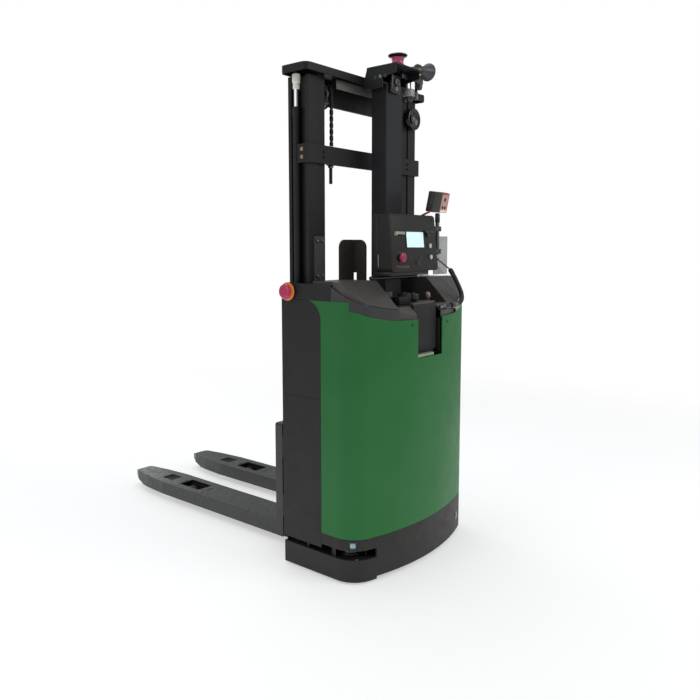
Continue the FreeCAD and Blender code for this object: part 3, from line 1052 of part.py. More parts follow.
# ---------------------------------------------------------------- drive, caster and inner units
turntable = rod("turntable", "z", "drive_x", DRIVE_Y, "floor_level + floor_plate + running_gap",
                "turntable_radius", "turntable_high")
neck = rod("neck", "z", "drive_x", DRIVE_Y, "2 * wheel_radius + wheel_gap", "neck_radius",
           "floor_level + floor_plate + turntable_high - 2 * wheel_radius - wheel_gap")
motor = rod("drive_motor", "z", "drive_x", DRIVE_Y, "floor_level + floor_plate + turntable_high",
            "motor_radius", "motor_tall")
gearcase = slab("gearcase", ("drive_x + wheel_width / 2 + wheel_gap",
                             "drive_x + wheel_width / 2 + wheel_gap + gearcase_wide"),
                (f"{DRIVE_Y} - gearcase_half", f"{DRIVE_Y} + gearcase_half"),
                ("gearcase_low", "floor_level - 4"))
web = slab("gear_web", ("drive_x - neck_radius / 2", "drive_x + wheel_width / 2 + wheel_gap + 4"),
           (f"{DRIVE_Y} - 30", f"{DRIVE_Y} + 30"), ("2 * wheel_radius + wheel_gap", "floor_level - 4"))
hub = rod("drive_hub", "x", "drive_x - wheel_width / 2", DRIVE_Y, "wheel_radius", "hub_pin",
          "wheel_width + wheel_gap + 4")
finish(fuse("drive_unit_solid", turntable, neck, motor, gearcase, web, hub), "drive_unit")
tyre = rod("drive_tyre", "x", "drive_x - wheel_width / 2", DRIVE_Y, "wheel_radius", "wheel_radius",
           "wheel_width")
tyre_bore = rod("drive_bore", "x", "drive_x - wheel_width / 2 - 1", DRIVE_Y, "wheel_radius",
                "hub_pin + shaft_gap", "wheel_width + 2")
finish(cut("drive_wheel_solid", tyre, tyre_bore), "drive_wheel")

CASTER_AXLE = f"({CASTER_Y} - caster_trail)"
stem = rod("caster_pin", "z", "caster_x", CASTER_Y, "floor_level - caster_drop", "caster_stem",
           "caster_drop + floor_plate - running_gap")
crown = slab("caster_crown", ("caster_x - caster_half", "caster_x + caster_half"),
             (f"{CASTER_Y} - caster_trail - 20", f"{CASTER_Y} + 30"),
             ("floor_level - caster_drop", "floor_level - caster_drop + caster_plate"))
cheeks = [slab(f"caster_cheek_{which}",
               (f"caster_x + {side} * caster_half - {0 if side < 0 else 1} * caster_cheek",
                f"caster_x + {side} * caster_half + {1 if side < 0 else 0} * caster_cheek"),
               (f"{CASTER_AXLE} - 20", f"{CASTER_AXLE} + 20"),
               ("caster_radius - 18", "floor_level - caster_drop + 1")) for which, side in SIDES]
pin = rod("caster_axle", "x", "caster_x - caster_half", CASTER_AXLE, "caster_radius", "axle_radius",
          "2 * caster_half")
swivel = rod("caster_swivel", "z", "caster_x", CASTER_Y, "floor_level - caster_drop",
             "swivel_radius", "caster_drop - running_gap")
finish(fuse("caster_fork_solid", stem, crown, swivel, pin, *cheeks), "caster_fork")
finish(cut("caster_wheel_solid",
           rod("caster_tread", "x", "caster_x - caster_width / 2", CASTER_AXLE, "caster_radius",
               "caster_radius", "caster_width"),
           rod("caster_bore", "x", "caster_x - caster_width / 2 - 1", CASTER_AXLE, "caster_radius",
               "axle_radius + shaft_gap", "caster_width + 2")), "caster_wheel")

finish(slab("battery_solid", ("-battery_half", "battery_half"),
            (f"{FRONT} - battery_front - battery_depth + running_gap", f"{FRONT} - battery_front"),
            ("battery_low", "battery_low + battery_tall")), "battery")

TANK_TOP = "floor_level + floor_plate + tank_tall"
tank = slab("pump_tank", ("tank_x - tank_wide / 2", "tank_x + tank_wide / 2"),
            (f"{FRONT} - tank_back", f"{FRONT} - tank_back + tank_deep"),
            ("floor_level + floor_plate", TANK_TOP))
pump = rod("pump_motor", "x", "tank_x - pump_long / 2", f"{FRONT} - tank_back + tank_deep / 2",
           f"{TANK_TOP} + pump_radius - 2", "pump_radius", "pump_long")
finish(fuse("hydraulic_unit_solid", tank, pump), "hydraulic_unit")

# ---------------------------------------------------------------- checks and export
doc.recompute()
for item in doc.Objects:
    if "Invalid" in item.State or "Error" in item.State:
        raise RuntimeError(f"{item.Name} failed: {item.State}")
for item in parts:
    if item.Shape.isNull() or not item.Shape.isValid():
        raise RuntimeError(f"{item.Label} has no valid shape")

os.makedirs("parts", exist_ok=True)
for item in parts:
    item.Shape.exportStep(f"parts/{item.Label}.step")
    box = item.Shape.BoundBox
    print(f"{item.Label:26s} {len(item.Shape.Solids):2d} solids  "
          f"X {box.XMin:8.1f} {box.XMax:8.1f}  Y {box.YMin:8.1f} {box.YMax:8.1f}  "
          f"Z {box.ZMin:8.1f} {box.ZMax:8.1f}")
print(len(parts), "parts")
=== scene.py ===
import bpy, bmesh, math
from mathutils import Vector, Matrix


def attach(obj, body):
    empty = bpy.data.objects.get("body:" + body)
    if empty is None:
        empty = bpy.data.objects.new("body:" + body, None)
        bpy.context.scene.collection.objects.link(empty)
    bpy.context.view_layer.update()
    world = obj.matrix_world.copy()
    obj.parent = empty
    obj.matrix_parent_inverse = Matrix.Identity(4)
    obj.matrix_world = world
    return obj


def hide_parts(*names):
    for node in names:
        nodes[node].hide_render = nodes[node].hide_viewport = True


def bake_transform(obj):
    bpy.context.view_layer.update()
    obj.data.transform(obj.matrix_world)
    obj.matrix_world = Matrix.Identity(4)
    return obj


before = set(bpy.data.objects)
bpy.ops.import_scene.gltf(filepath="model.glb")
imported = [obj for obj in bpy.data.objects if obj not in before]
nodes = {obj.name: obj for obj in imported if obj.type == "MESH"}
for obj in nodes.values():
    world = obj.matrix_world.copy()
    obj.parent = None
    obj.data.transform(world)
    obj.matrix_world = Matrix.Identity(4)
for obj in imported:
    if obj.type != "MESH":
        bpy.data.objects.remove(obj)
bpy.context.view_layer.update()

bpy.context.scene.view_settings.view_transform = "Standard"
frontY = -0.441          # front edge of the covered body
rearY = -0.892           # rearmost line of the covers
outward, rearward, upward = (1, 0, 0), (0, -1, 0), (0, 0, 1)


def addNode(tree, kind, inputs=None, **settings):
    node = tree.nodes.new("ShaderNode" + kind)
    for key, value in settings.items():
        setattr(node, key, value)
    for key, value in (inputs or {}).items():
        node.inputs[key].default_value = value
    return node


# camera, lamps, world and floor
cameraSet = {"place": (-2.4997, -2.4422, 1.3268), "yaw": 49.82, "down": 6.17, "roll": 0.22,
             "lens": 36.28, "sensor": 36, "shiftX": 0.031, "shiftY": -0.0367, "far": 60}


def makeCamera():
    s = cameraSet
    yaw, down = math.radians(s["yaw"]), math.radians(s["down"])
    ahead = Vector((math.sin(yaw) * math.cos(down), math.cos(yaw) * math.cos(down), -math.sin(down)))
    turn = ahead.to_track_quat("-Z", "Y").to_matrix()
    roll = Matrix.Rotation(math.radians(-s["roll"]), 3, "Z")
    data = bpy.data.cameras.new("view")
    data.lens, data.sensor_width, data.clip_end = s["lens"], s["sensor"], s["far"]
    data.shift_x, data.shift_y = s["shiftX"], s["shiftY"]
    camera = bpy.data.objects.new("view", data)
    camera.matrix_world = Matrix.Translation(s["place"]) @ (turn @ roll).to_4x4()
    bpy.context.scene.collection.objects.link(camera)
    bpy.context.scene.camera = camera


lampSet = {
    "behindRight": {"at": (1.2, -4.6, 3.6), "aim": (0, -0.3, 0.9), "width": 2.6, "watts": 62},
    "leftSoft": {"at": (-4.6, 0.4, 2.4), "aim": (0, -0.2, 0.9), "width": 2.4, "watts": 26},
    "above": {"at": (0.2, 0.6, 5.2), "aim": (0, 0, 0.6), "width": 3.0, "watts": 48},
    "frontFill": {"at": (1.5, 5.0, 2.2), "aim": (0, 0, 0.8), "width": 2.6, "watts": 30},
}


def makeLamps():
    for name, lamp in lampSet.items():
        data = bpy.data.lights.new(name, "AREA")
        data.energy, data.size = lamp["watts"], lamp["width"]
        light = bpy.data.objects.new(name, data)
        place = Vector(lamp["at"])
        aim = (Vector(lamp["aim"]) - place).to_track_quat("-Z", "Y").to_matrix().to_4x4()
        light.matrix_world = Matrix.Translation(place) @ aim
        bpy.context.scene.collection.objects.link(light)


worldSet = {"seen": (1.0, 1.0, 1.0, 1), "lit": (0.94, 0.97, 1.0, 1), "strength": 0.3, "inGloss": 0.25}


def makeWorld():
    # surfaces are lit softly, while the camera, clear plates and part of each reflection see plain white
    s = worldSet
    world = bpy.data.worlds.new("studio")
    bpy.context.scene.world = world
    world.use_nodes = True
    tree, link = world.node_tree, world.node_tree.links.new
    tree.nodes.clear()
    path = addNode(tree, "LightPath")
    seen = addNode(tree, "Background", {0: s["seen"]})
    lit = addNode(tree, "Background", {0: s["lit"], 1: s["strength"]})
    glossPart = addNode(tree, "Math", {1: s["inGloss"]}, operation="MULTIPLY")
    either = addNode(tree, "Math", operation="MAXIMUM")
    anyRay = addNode(tree, "Math", operation="MAXIMUM")
    mix, out = addNode(tree, "MixShader"), addNode(tree, "OutputWorld")
    link(path.outputs["Is Glossy Ray"], glossPart.inputs[0])
    link(path.outputs["Is Camera Ray"], either.inputs[0])
    link(glossPart.outputs[0], either.inputs[1])
    link(either.outputs[0], anyRay.inputs[0])
    link(path.outputs["Is Transmission Ray"], anyRay.inputs[1])
    for number, source in enumerate((anyRay, lit, seen)):
        link(source.outputs[0], mix.inputs[number])
    link(mix.outputs[0], out.inputs[0])


floorSet = {"radius": 7.0, "sides": 96, "solidTo": 1.9, "goneAt": 4.6, "rough": 0.7, "glow": 0.45,
            "colour": (0.93, 0.93, 0.93, 1), "glowColour": (1, 1, 1, 1)}


def makeFloor():
    s = floorSet
    bm = bmesh.new()
    bmesh.ops.create_circle(bm, cap_ends=True, segments=s["sides"], radius=s["radius"])
    mesh = bpy.data.meshes.new("floor")
    bm.to_mesh(mesh)
    bm.free()
    floor = bpy.data.objects.new("floor", mesh)
    bpy.context.scene.collection.objects.link(floor)
    material = bpy.data.materials.new("floor")
    material.use_nodes = True
    tree, link = material.node_tree, material.node_tree.links.new
    tree.nodes.clear()
    coords = addNode(tree, "TexCoord")
    reach = addNode(tree, "VectorMath", operation="LENGTH")
    fade = addNode(tree, "MapRange", {"From Min": s["solidTo"], "From Max": s["goneAt"]},
                   interpolation_type="SMOOTHSTEP")
    matte = addNode(tree, "BsdfPrincipled", {"Base Color": s["colour"], "Roughness": s["rough"],
                                             "Emission Color": s["glowColour"],
                                             "Emission Strength": s["glow"]})
    clear = addNode(tree, "BsdfTransparent")
    mix, out = addNode(tree, "MixShader"), addNode(tree, "OutputMaterial")
    link(coords.outputs["Object"], reach.inputs[0])
    link(reach.outputs["Value"], fade.inputs["Value"])
    for number, source in enumerate((fade, matte, clear)):
        link(source.outputs[0], mix.inputs[number])
    link(mix.outputs[0], out.inputs[0])
    mesh.materials.append(material)


# finishes: base and tint vary over patches, edge is the colour of corners, partly rubbed paint and partly a
# painted highlight along the edge; colours run from 0 to 255
finishes = {
    "greenPaint": dict(base=(41, 113, 56), tint=(50, 119, 65), edge=(88, 142, 96),
                       rough=0.46, spread=0.06, grain=900, bump=0.010, patch=2.2, shine=0.22,
                       corner=0.0016, edgeWearAndHighlight=0.30),
    "charcoalPaint": dict(base=(36, 36, 36), tint=(41, 40, 40), edge=(68, 68, 68),
                          rough=0.54, spread=0.08, grain=1500, bump=0.05, patch=3.0, shine=0.3,
                          corner=0.0016, edgeWearAndHighlight=0.35),
    "skirtPaint": dict(base=(41, 39, 38), tint=(47, 45, 44), edge=(72, 70, 68),
                       rough=0.52, spread=0.10, grain=1300, bump=0.05, patch=4.0, shine=0.3,
                       corner=0.0022, edgeWearAndHighlight=0.4),
    "hoodPlastic": dict(base=(69, 65, 62), tint=(80, 76, 73), edge=(108, 103, 99),
                        rough=0.42, spread=0.08, grain=1700, bump=0.06, patch=5.0, coat=0.1,
                        corner=0.004, edgeWearAndHighlight=0.25),
    "mastPaint": dict(base=(30, 30, 31), tint=(36, 36, 37), edge=(60, 60, 62),
                      rough=0.48, spread=0.12, grain=700, bump=0.03, patch=6.0, shine=0.3,
                      corner=0.0018, edgeWearAndHighlight=0.45),
    "bandPaint": dict(base=(36, 34, 33), tint=(42, 40, 39), edge=(70, 67, 65),
                      rough=0.50, spread=0.08, grain=1700, bump=0.06, patch=5.0, shine=0.3,
                      corner=0.004, edgeWearAndHighlight=0.25),
    "headPaint": dict(base=(27, 28, 30), tint=(33, 34, 36), edge=(62, 64, 68),
                      rough=0.46, spread=0.08, grain=1100, bump=0.03, patch=5.0, shine=0.3,
                      corner=0.002, edgeWearAndHighlight=0.3),
    "forkPaint": dict(base=(44, 45, 45), tint=(53, 54, 54), edge=(96, 96, 94),
                      rough=0.40, spread=0.16, grain=420, bump=0.05, patch=7.0, coat=0.05,
                      corner=0.0022, edgeWearAndHighlight=0.7),
    "stayPaint": dict(base=(70, 67, 64), tint=(80, 77, 73), edge=(120, 117, 112),
                      rough=0.45, spread=0.1, grain=900, bump=0.03, patch=9.0,
                      corner=0.0015, edgeWearAndHighlight=0.4),
    "webPaint": dict(base=(112, 108, 103), tint=(122, 118, 112), edge=(150, 146, 140),
                     rough=0.50, spread=0.1, grain=900, bump=0.03, patch=9.0, shine=0.3,
                     corner=0.0015, edgeWearAndHighlight=0.3),
    "postPaint": dict(base=(34, 34, 36), tint=(40, 41, 43), edge=(68, 70, 73),
                      rough=0.44, spread=0.08, grain=1100, bump=0.03, patch=5.0, shine=0.3,
                      corner=0.002, edgeWearAndHighlight=0.3),
    "boxPaint": dict(base=(40, 39, 38), tint=(46, 45, 43), edge=(76, 74, 71),
                     rough=0.50, spread=0.07, grain=2200, bump=0.06, patch=10.0, shine=0.3,
                     corner=0.0018, edgeWearAndHighlight=0.25),
    "glossStrip": dict(base=(34, 33, 35), tint=(52, 48, 54), edge=(90, 86, 92),
                       rough=0.12, spread=0.06, grain=300, bump=0.004, patch=7.0, coat=0.9,
                       corner=0.001, edgeWearAndHighlight=0.2),
    "bareSteel": dict(base=(150, 150, 152), tint=(118, 117, 116), edge=(205, 205, 205),
                      rough=0.30, spread=0.16, grain=500, bump=0.03, patch=22.0, metal=1.0,
                      corner=0.0008, edgeWearAndHighlight=0.5),
    "darkSteel": dict(base=(62, 60, 58), tint=(84, 80, 76), edge=(128, 124, 120),
                      rough=0.36, spread=0.16, grain=900, bump=0.04, patch=40.0, metal=0.85,
                      corner=0.0006, edgeWearAndHighlight=0.5),
    "chrome": dict(base=(236, 238, 240), tint=(222, 226, 230), edge=(250, 250, 250),
                   rough=0.07, spread=0.05, grain=200, bump=0.002, patch=18.0, metal=1.0,
                   corner=0.001, edgeWearAndHighlight=0.1),
    "creamFitting": dict(base=(244, 242, 234), tint=(222, 218, 208), edge=(250, 249, 245),
                         rough=0.36, spread=0.1, grain=800, bump=0.02, patch=30.0, coat=0.2,
                         # the glow is painted light that lifts the fitting out of the shade under the pan
                         glow=((235, 232, 222), 0.22),
                         corner=0.001, edgeWearAndHighlight=0.2),
    "brassBolt": dict(base=(196, 176, 142), tint=(170, 148, 116), edge=(228, 212, 182),
                      rough=0.28, spread=0.1, grain=700, bump=0.02, patch=60.0, metal=1.0,
                      corner=0.0006, edgeWearAndHighlight=0.3),
    "polyurethane": dict(base=(150, 62, 36), tint=(132, 52, 32), edge=(176, 92, 60),
                         rough=0.44, spread=0.12, grain=600, bump=0.05, patch=16.0, coat=0.1,
                         corner=0.002, edgeWearAndHighlight=0.3),
    "tyreRubber": dict(base=(30, 30, 31), tint=(42, 41, 41), edge=(60, 59, 58),
                       rough=0.72, spread=0.1, grain=700, bump=0.12, patch=14.0,
                       corner=0.002, edgeWearAndHighlight=0.4),
    "cableRubber": dict(base=(22, 22, 23), tint=(33, 33, 34), edge=(54, 54, 56),
                        rough=0.46, spread=0.1, grain=1600, bump=0.06, patch=30.0,
                        corner=0.001, edgeWearAndHighlight=0.2),
    "leadGrey": dict(base=(92, 94, 95), tint=(108, 110, 110), edge=(140, 140, 140),
                     rough=0.5, spread=0.08, grain=1600, bump=0.04, patch=50.0, corner=0.001, edgeWearAndHighlight=0.2),
    "sensorBlack": dict(base=(20, 20, 22), tint=(29, 29, 31), edge=(62, 62, 66),
                        rough=0.28, spread=0.08, grain=1500, bump=0.03, patch=20.0, coat=0.3,
                        corner=0.001, edgeWearAndHighlight=0.3),
    "sensorGrey": dict(base=(176, 178, 180), tint=(150, 152, 155), edge=(210, 212, 214),
                       rough=0.4, spread=0.08, grain=1300, bump=0.03, patch=30.0, coat=0.1,
                       corner=0.001, edgeWearAndHighlight=0.2),
    "hornGrey": dict(base=(62, 62, 66), tint=(76, 76, 80), edge=(112, 112, 118),
                     rough=0.42, spread=0.08, grain=1200, bump=0.04, patch=18.0, coat=0.1,
                     corner=0.0016, edgeWearAndHighlight=0.3),
    "stopRed": dict(base=(172, 40, 80), tint=(154, 32, 70), edge=(208, 88, 122),
                    rough=0.30, spread=0.06, grain=1500, bump=0.02, patch=40.0, coat=0.35,
                    corner=0.001, edgeWearAndHighlight=0.2),
    "stopMagenta": dict(base=(206, 48, 104), tint=(190, 40, 90), edge=(232, 92, 138),
                        rough=0.30, spread=0.06, grain=1500, bump=0.02, patch=40.0, coat=0.35,
                        corner=0.001, edgeWearAndHighlight=0.2),
    "stopYellow": dict(base=(236, 148, 62), tint=(222, 122, 50), edge=(250, 196, 110),
                       rough=0.36, spread=0.08, grain=1300, bump=0.03, patch=40.0, coat=0.2,
                       corner=0.001, edgeWearAndHighlight=0.2),
    "buttonWhite": dict(base=(226, 224, 214), tint=(206, 204, 194), edge=(244, 243, 238),
                        rough=0.26, spread=0.06, grain=1400, bump=0.01, patch=60.0, coat=0.4,
                        corner=0.0008, edgeWearAndHighlight=0.1),
    "batteryCase": dict(base=(50, 52, 56), tint=(60, 62, 66), edge=(92, 94, 98),
                        rough=0.5, spread=0.1, grain=900, bump=0.05, patch=6.0, corner=0.003, edgeWearAndHighlight=0.3),
    "castIron": dict(base=(40, 41, 43), tint=(54, 54, 56), edge=(88, 88, 90),
                     rough=0.55, spread=0.14, grain=340, bump=0.20, patch=14.0, metal=0.3,
                     corner=0.002, edgeWearAndHighlight=0.4),
    "bluePlug": dict(base=(38, 104, 150), tint=(30, 86, 128), edge=(90, 150, 190),
                     rough=0.34, spread=0.06, grain=1500, bump=0.02, patch=50.0, coat=0.2,
                     corner=0.0008, edgeWearAndHighlight=0.2),
    "limePlug": dict(base=(150, 158, 62), tint=(128, 136, 50), edge=(190, 198, 110),
                     rough=0.34, spread=0.06, grain=1500, bump=0.02, patch=50.0, coat=0.2,
                     corner=0.0008, edgeWearAndHighlight=0.2),
    "lampBody": dict(base=(45, 46, 42), tint=(52, 53, 48), edge=(78, 79, 74),
                     rough=0.46, spread=0.08, grain=1500, bump=0.04, patch=18.0, corner=0.0015, edgeWearAndHighlight=0.3),
    "redLead": dict(base=(158, 62, 62), tint=(140, 50, 52), edge=(190, 96, 94),
                    rough=0.42, spread=0.08, grain=1500, bump=0.03, patch=50.0, corner=0.001, edgeWearAndHighlight=0.2),
    "paleLedge": dict(base=(168, 178, 154), tint=(152, 162, 138), edge=(196, 204, 180),
                      rough=0.4, spread=0.1, grain=1100, bump=0.03, patch=30.0, corner=0.001, edgeWearAndHighlight=0.3),
    "lidarGlass": dict(base=(186, 84, 122), tint=(166, 66, 104), edge=(214, 128, 158),
                       rough=0.10, spread=0.05, grain=900, bump=0.006, patch=40.0, coat=0.5, clear=0.60,
                       # the glow is painted light: the scanner window is no lamp
                       glow=((190, 84, 124), 0.16), corner=0.001, edgeWearAndHighlight=0.2),
    "lensBlack": dict(base=(12, 12, 16), tint=(22, 20, 28), edge=(60, 58, 72),
                      rough=0.05, spread=0.03, grain=300, bump=0.003, patch=50.0, coat=0.9,
                      corner=0.001, edgeWearAndHighlight=0.1),
    "lampLens": dict(base=(104, 106, 107), tint=(82, 85, 86), edge=(168, 174, 175),
                     rough=0.16, spread=0.05, grain=500, bump=0.01, patch=60.0, coat=0.6,
                     glow=((120, 124, 126), 0.05), corner=0.001, edgeWearAndHighlight=0.2),
    "screenGlow": dict(base=(206, 236, 240), tint=(190, 222, 236), edge=(230, 246, 250),
                       rough=0.08, spread=0.03, grain=2000, bump=0.002, patch=42.0, coat=0.6,
                       glow=((220, 249, 254), 0.55), corner=0.0005, edgeWearAndHighlight=0.1),
    "stripBrown": dict(base=(66, 50, 48), tint=(76, 58, 55), edge=(92, 76, 72),
                       rough=0.34, spread=0.05, grain=1600, bump=0.01, patch=60.0, corner=0.0004, edgeWearAndHighlight=0.2),
    "ringGlow": dict(base=(226, 132, 58), tint=(214, 112, 46), edge=(248, 190, 120),
                     rough=0.28, spread=0.06, grain=1200, bump=0.01, patch=40.0, coat=0.4,
                     glow=((232, 138, 66), 0.22), corner=0.001, edgeWearAndHighlight=0.2),
    "keyBrown": dict(base=(98, 84, 80), tint=(82, 72, 68), edge=(142, 130, 124),
                     rough=0.34, spread=0.08, grain=1400, bump=0.02, patch=60.0, metal=0.5,
                     corner=0.0006, edgeWearAndHighlight=0.3),
    "lampRed": dict(base=(176, 62, 52), tint=(154, 50, 44), edge=(206, 104, 90),
                    rough=0.18, spread=0.05, grain=900, bump=0.01, patch=50.0, coat=0.5,
                    glow=((190, 70, 58), 0.10), corner=0.001, edgeWearAndHighlight=0.2),
    "lampRose": dict(base=(196, 156, 148), tint=(184, 134, 128), edge=(222, 192, 184),
                     rough=0.20, spread=0.06, grain=420, bump=0.03, patch=46.0, coat=0.5,
                     glow=((204, 160, 152), 0.12), corner=0.001, edgeWearAndHighlight=0.2),
    "lampWarm": dict(base=(240, 214, 196), tint=(230, 196, 172), edge=(250, 236, 224),
                     rough=0.22, spread=0.05, grain=800, bump=0.01, patch=60.0, coat=0.3,
                     glow=((250, 216, 190), 0.35), corner=0.001, edgeWearAndHighlight=0.1),
    "postGreen": dict(base=(92, 104, 92), tint=(78, 88, 80), edge=(166, 172, 166),
                      rough=0.26, spread=0.10, grain=600, bump=0.02, patch=30.0, metal=0.6,
                      corner=0.001, edgeWearAndHighlight=0.3),
    "clearPlate": dict(base=(204, 204, 203), tint=(190, 190, 190), edge=(232, 232, 232),
                       rough=0.16, spread=0.05, grain=500, bump=0.004, patch=16.0, coat=0.4, clear=0.35,
                       corner=0.0006, edgeWearAndHighlight=0.5),
    # this near-black finish is painted shade, for recesses and slots that lie in shadow
    "slotPaintedShade": dict(base=(16, 16, 17), tint=(22, 22, 23), edge=(34, 34, 36),
                     rough=0.66, spread=0.10, grain=700, bump=0.05, patch=12.0, corner=0.001, edgeWearAndHighlight=0.2),
    "screwGreen": dict(base=(30, 58, 34), tint=(38, 70, 42), edge=(70, 104, 74),
                       rough=0.40, spread=0.08, grain=1300, bump=0.02, patch=80.0, corner=0.0004, edgeWearAndHighlight=0.3),
    "skirtRim": dict(base=(74, 70, 68), tint=(84, 80, 77), edge=(118, 113, 109),
                     rough=0.44, spread=0.08, grain=1300, bump=0.03, patch=40.0, corner=0.001, edgeWearAndHighlight=0.3),
    "lightLens": dict(base=(168, 196, 204), tint=(142, 176, 186), edge=(214, 234, 240),
                      rough=0.14, spread=0.06, grain=700, bump=0.02, patch=60.0, coat=0.5, clear=0.15,
                      glow=((170, 206, 216), 0.10), corner=0.0008, edgeWearAndHighlight=0.2),
    "leverRose": dict(base=(196, 172, 172), tint=(180, 152, 152), edge=(226, 208, 208),
                      rough=0.26, spread=0.06, grain=1300, bump=0.01, patch=60.0, coat=0.4,
                      corner=0.0008, edgeWearAndHighlight=0.2),
    "rollerTread": dict(base=(40, 28, 24), tint=(54, 38, 32), edge=(86, 64, 54),
                        rough=0.46, spread=0.12, grain=600, bump=0.05, patch=24.0, coat=0.1,
                        corner=0.0015, edgeWearAndHighlight=0.4),
    "feelerRose": dict(base=(120, 104, 104), tint=(98, 84, 86), edge=(160, 146, 146),
                       rough=0.36, spread=0.08, grain=1400, bump=0.02, patch=60.0, coat=0.2,
                       corner=0.0008, edgeWearAndHighlight=0.2),
    "lugSteel": dict(base=(92, 88, 84), tint=(108, 103, 98), edge=(150, 146, 140),
                     rough=0.40, spread=0.10, grain=700, bump=0.03, patch=40.0, metal=0.3,
                     corner=0.0008, edgeWearAndHighlight=0.4),
}
paintSet = {"smudgeScale": 6, "cloudEnds": (0.35, 0.68), "cornerEnds": (0.995, 0.90),
            "rubAndHighlightEnds": (0.40, 0.62), "polishEnds": (0.3, 0.7), "leastRough": 0.02, "bumpDepth": 0.001,
            "coatRough": 0.15, "shine": 0.5}


def colour(red, green, blue):
    # the linear values that stand for screen values of 0 to 255
    channel = lambda part: part / 255 / 12.92 if part <= 10 else ((part / 255 + 0.055) / 1.055) ** 2.4
    return (channel(red), channel(green), channel(blue), 1)


def paint(name):
    if name in bpy.data.materials:
        return bpy.data.materials[name]
    s, look = paintSet, finishes[name]
    material = bpy.data.materials.new(name)
    material.use_nodes = True
    tree, link = material.node_tree, material.node_tree.links.new
    shader = tree.nodes["Principled BSDF"]

    def spreadOut(source, ends, more=None):
        node = addNode(tree, "MapRange", {"From Min": ends[0], "From Max": ends[1], **(more or {})})
        link(source, node.inputs["Value"])
        return node.outputs["Result"]

    coords = addNode(tree, "TexCoord")
    cloud = addNode(tree, "TexNoise", {"Scale": look["patch"], "Detail": 5.0, "Roughness": 0.6})
    fine = addNode(tree, "TexNoise", {"Scale": look["grain"], "Detail": 2.0})
    smudge = addNode(tree, "TexNoise", {"Scale": look["patch"] * s["smudgeScale"], "Detail": 6.0,
                                        "Roughness": 0.7})
    for noise in (cloud, fine, smudge):
        link(coords.outputs["Object"], noise.inputs["Vector"])
    body = addNode(tree, "Mix", {6: colour(*look["base"]), 7: colour(*look["tint"])}, data_type="RGBA")
    link(spreadOut(cloud.outputs["Fac"], s["cloudEnds"]), body.inputs["Factor"])
    # corners: where a rounded normal leaves the flat one the colour turns to the edge colour, partly thinner
    # paint and partly a painted highlight
    rounded = addNode(tree, "Bevel", {"Radius": look["corner"]}, samples=4)
    flat = addNode(tree, "NewGeometry")
    turn = addNode(tree, "VectorMath", operation="DOT_PRODUCT")
    link(rounded.outputs["Normal"], turn.inputs[0])
    link(flat.outputs["Normal"], turn.inputs[1])
    wornAndLitEdges = addNode(tree, "Math", operation="MULTIPLY")
    link(spreadOut(turn.outputs["Value"], s["cornerEnds"]), wornAndLitEdges.inputs[0])
    link(spreadOut(smudge.outputs["Fac"], s["rubAndHighlightEnds"]), wornAndLitEdges.inputs[1])
    amount = addNode(tree, "Math", {1: look["edgeWearAndHighlight"]}, operation="MULTIPLY")
    link(wornAndLitEdges.outputs["Value"], amount.inputs[0])
    edged = addNode(tree, "Mix", {7: colour(*look["edge"])}, data_type="RGBA")
    link(body.outputs[2], edged.inputs[6])
    link(amount.outputs["Value"], edged.inputs["Factor"])
    link(edged.outputs[2], shader.inputs["Base Color"])
    polish = spreadOut(smudge.outputs["Fac"], s["polishEnds"],
                       {"To Min": max(look["rough"] - look["spread"], s["leastRough"]),
                        "To Max": look["rough"] + look["spread"]})
    link(polish, shader.inputs["Roughness"])
    bump = addNode(tree, "Bump", {"Strength": look["bump"], "Distance": s["bumpDepth"]})
    link(fine.outputs["Fac"], bump.inputs["Height"])
    link(rounded.outputs["Normal"], bump.inputs["Normal"])
    link(bump.outputs["Normal"], shader.inputs["Normal"])
    own = {"Metallic": look.get("metal", 0.0), "Coat Weight": look.get("coat", 0.0),
           "Coat Roughness": s["coatRough"], "Specular IOR Level": look.get("shine", s["shine"]),
           "Transmission Weight": look.get("clear", 0.0)}
    if "glow" in look:
        own["Emission Color"], own["Emission Strength"] = colour(*look["glow"][0]), look["glow"][1]
    for socket, value in own.items():
        shader.inputs[socket].default_value = value
    return material


def soften(bm, edges, width, steps=2):
    if width:
        bmesh.ops.bevel(bm, geom=list(edges), offset=width, offset_type="OFFSET", segments=steps,
                        profile=0.5, affect="EDGES", material=-1, clamp_overlap=True)
    return bm


def brick(low, high, soft=0.0, steps=2):
    bm = bmesh.new()
    low, high = Vector(low), Vector(high)
    bmesh.ops.create_cube(bm, size=1, matrix=Matrix.Translation((low + high) / 2)
                          @ Matrix.Diagonal((*(high - low), 1)))
    return soften(bm, bm.edges, soft, steps)


def alongAxis(start, end):
    start, end = Vector(start), Vector(end)
    turn = (end - start).to_track_quat("Z", "Y").to_matrix().to_4x4()
    return Matrix.Translation(start) @ turn, (end - start).length


def barrel(start, end, radius, endRadius=None, sides=32, soft=0.0, steps=2):
    bm = bmesh.new()
    place, tall = alongAxis(start, end)
    bmesh.ops.create_cone(bm, cap_ends=True, segments=sides, radius1=radius,
                          radius2=radius if endRadius is None else endRadius, depth=tall,
                          matrix=place @ Matrix.Translation((0, 0, tall / 2)))
    rims = [edge for edge in bm.edges if any(len(face.verts) > 4 for face in edge.link_faces)]
    return soften(bm, rims, soft, steps)


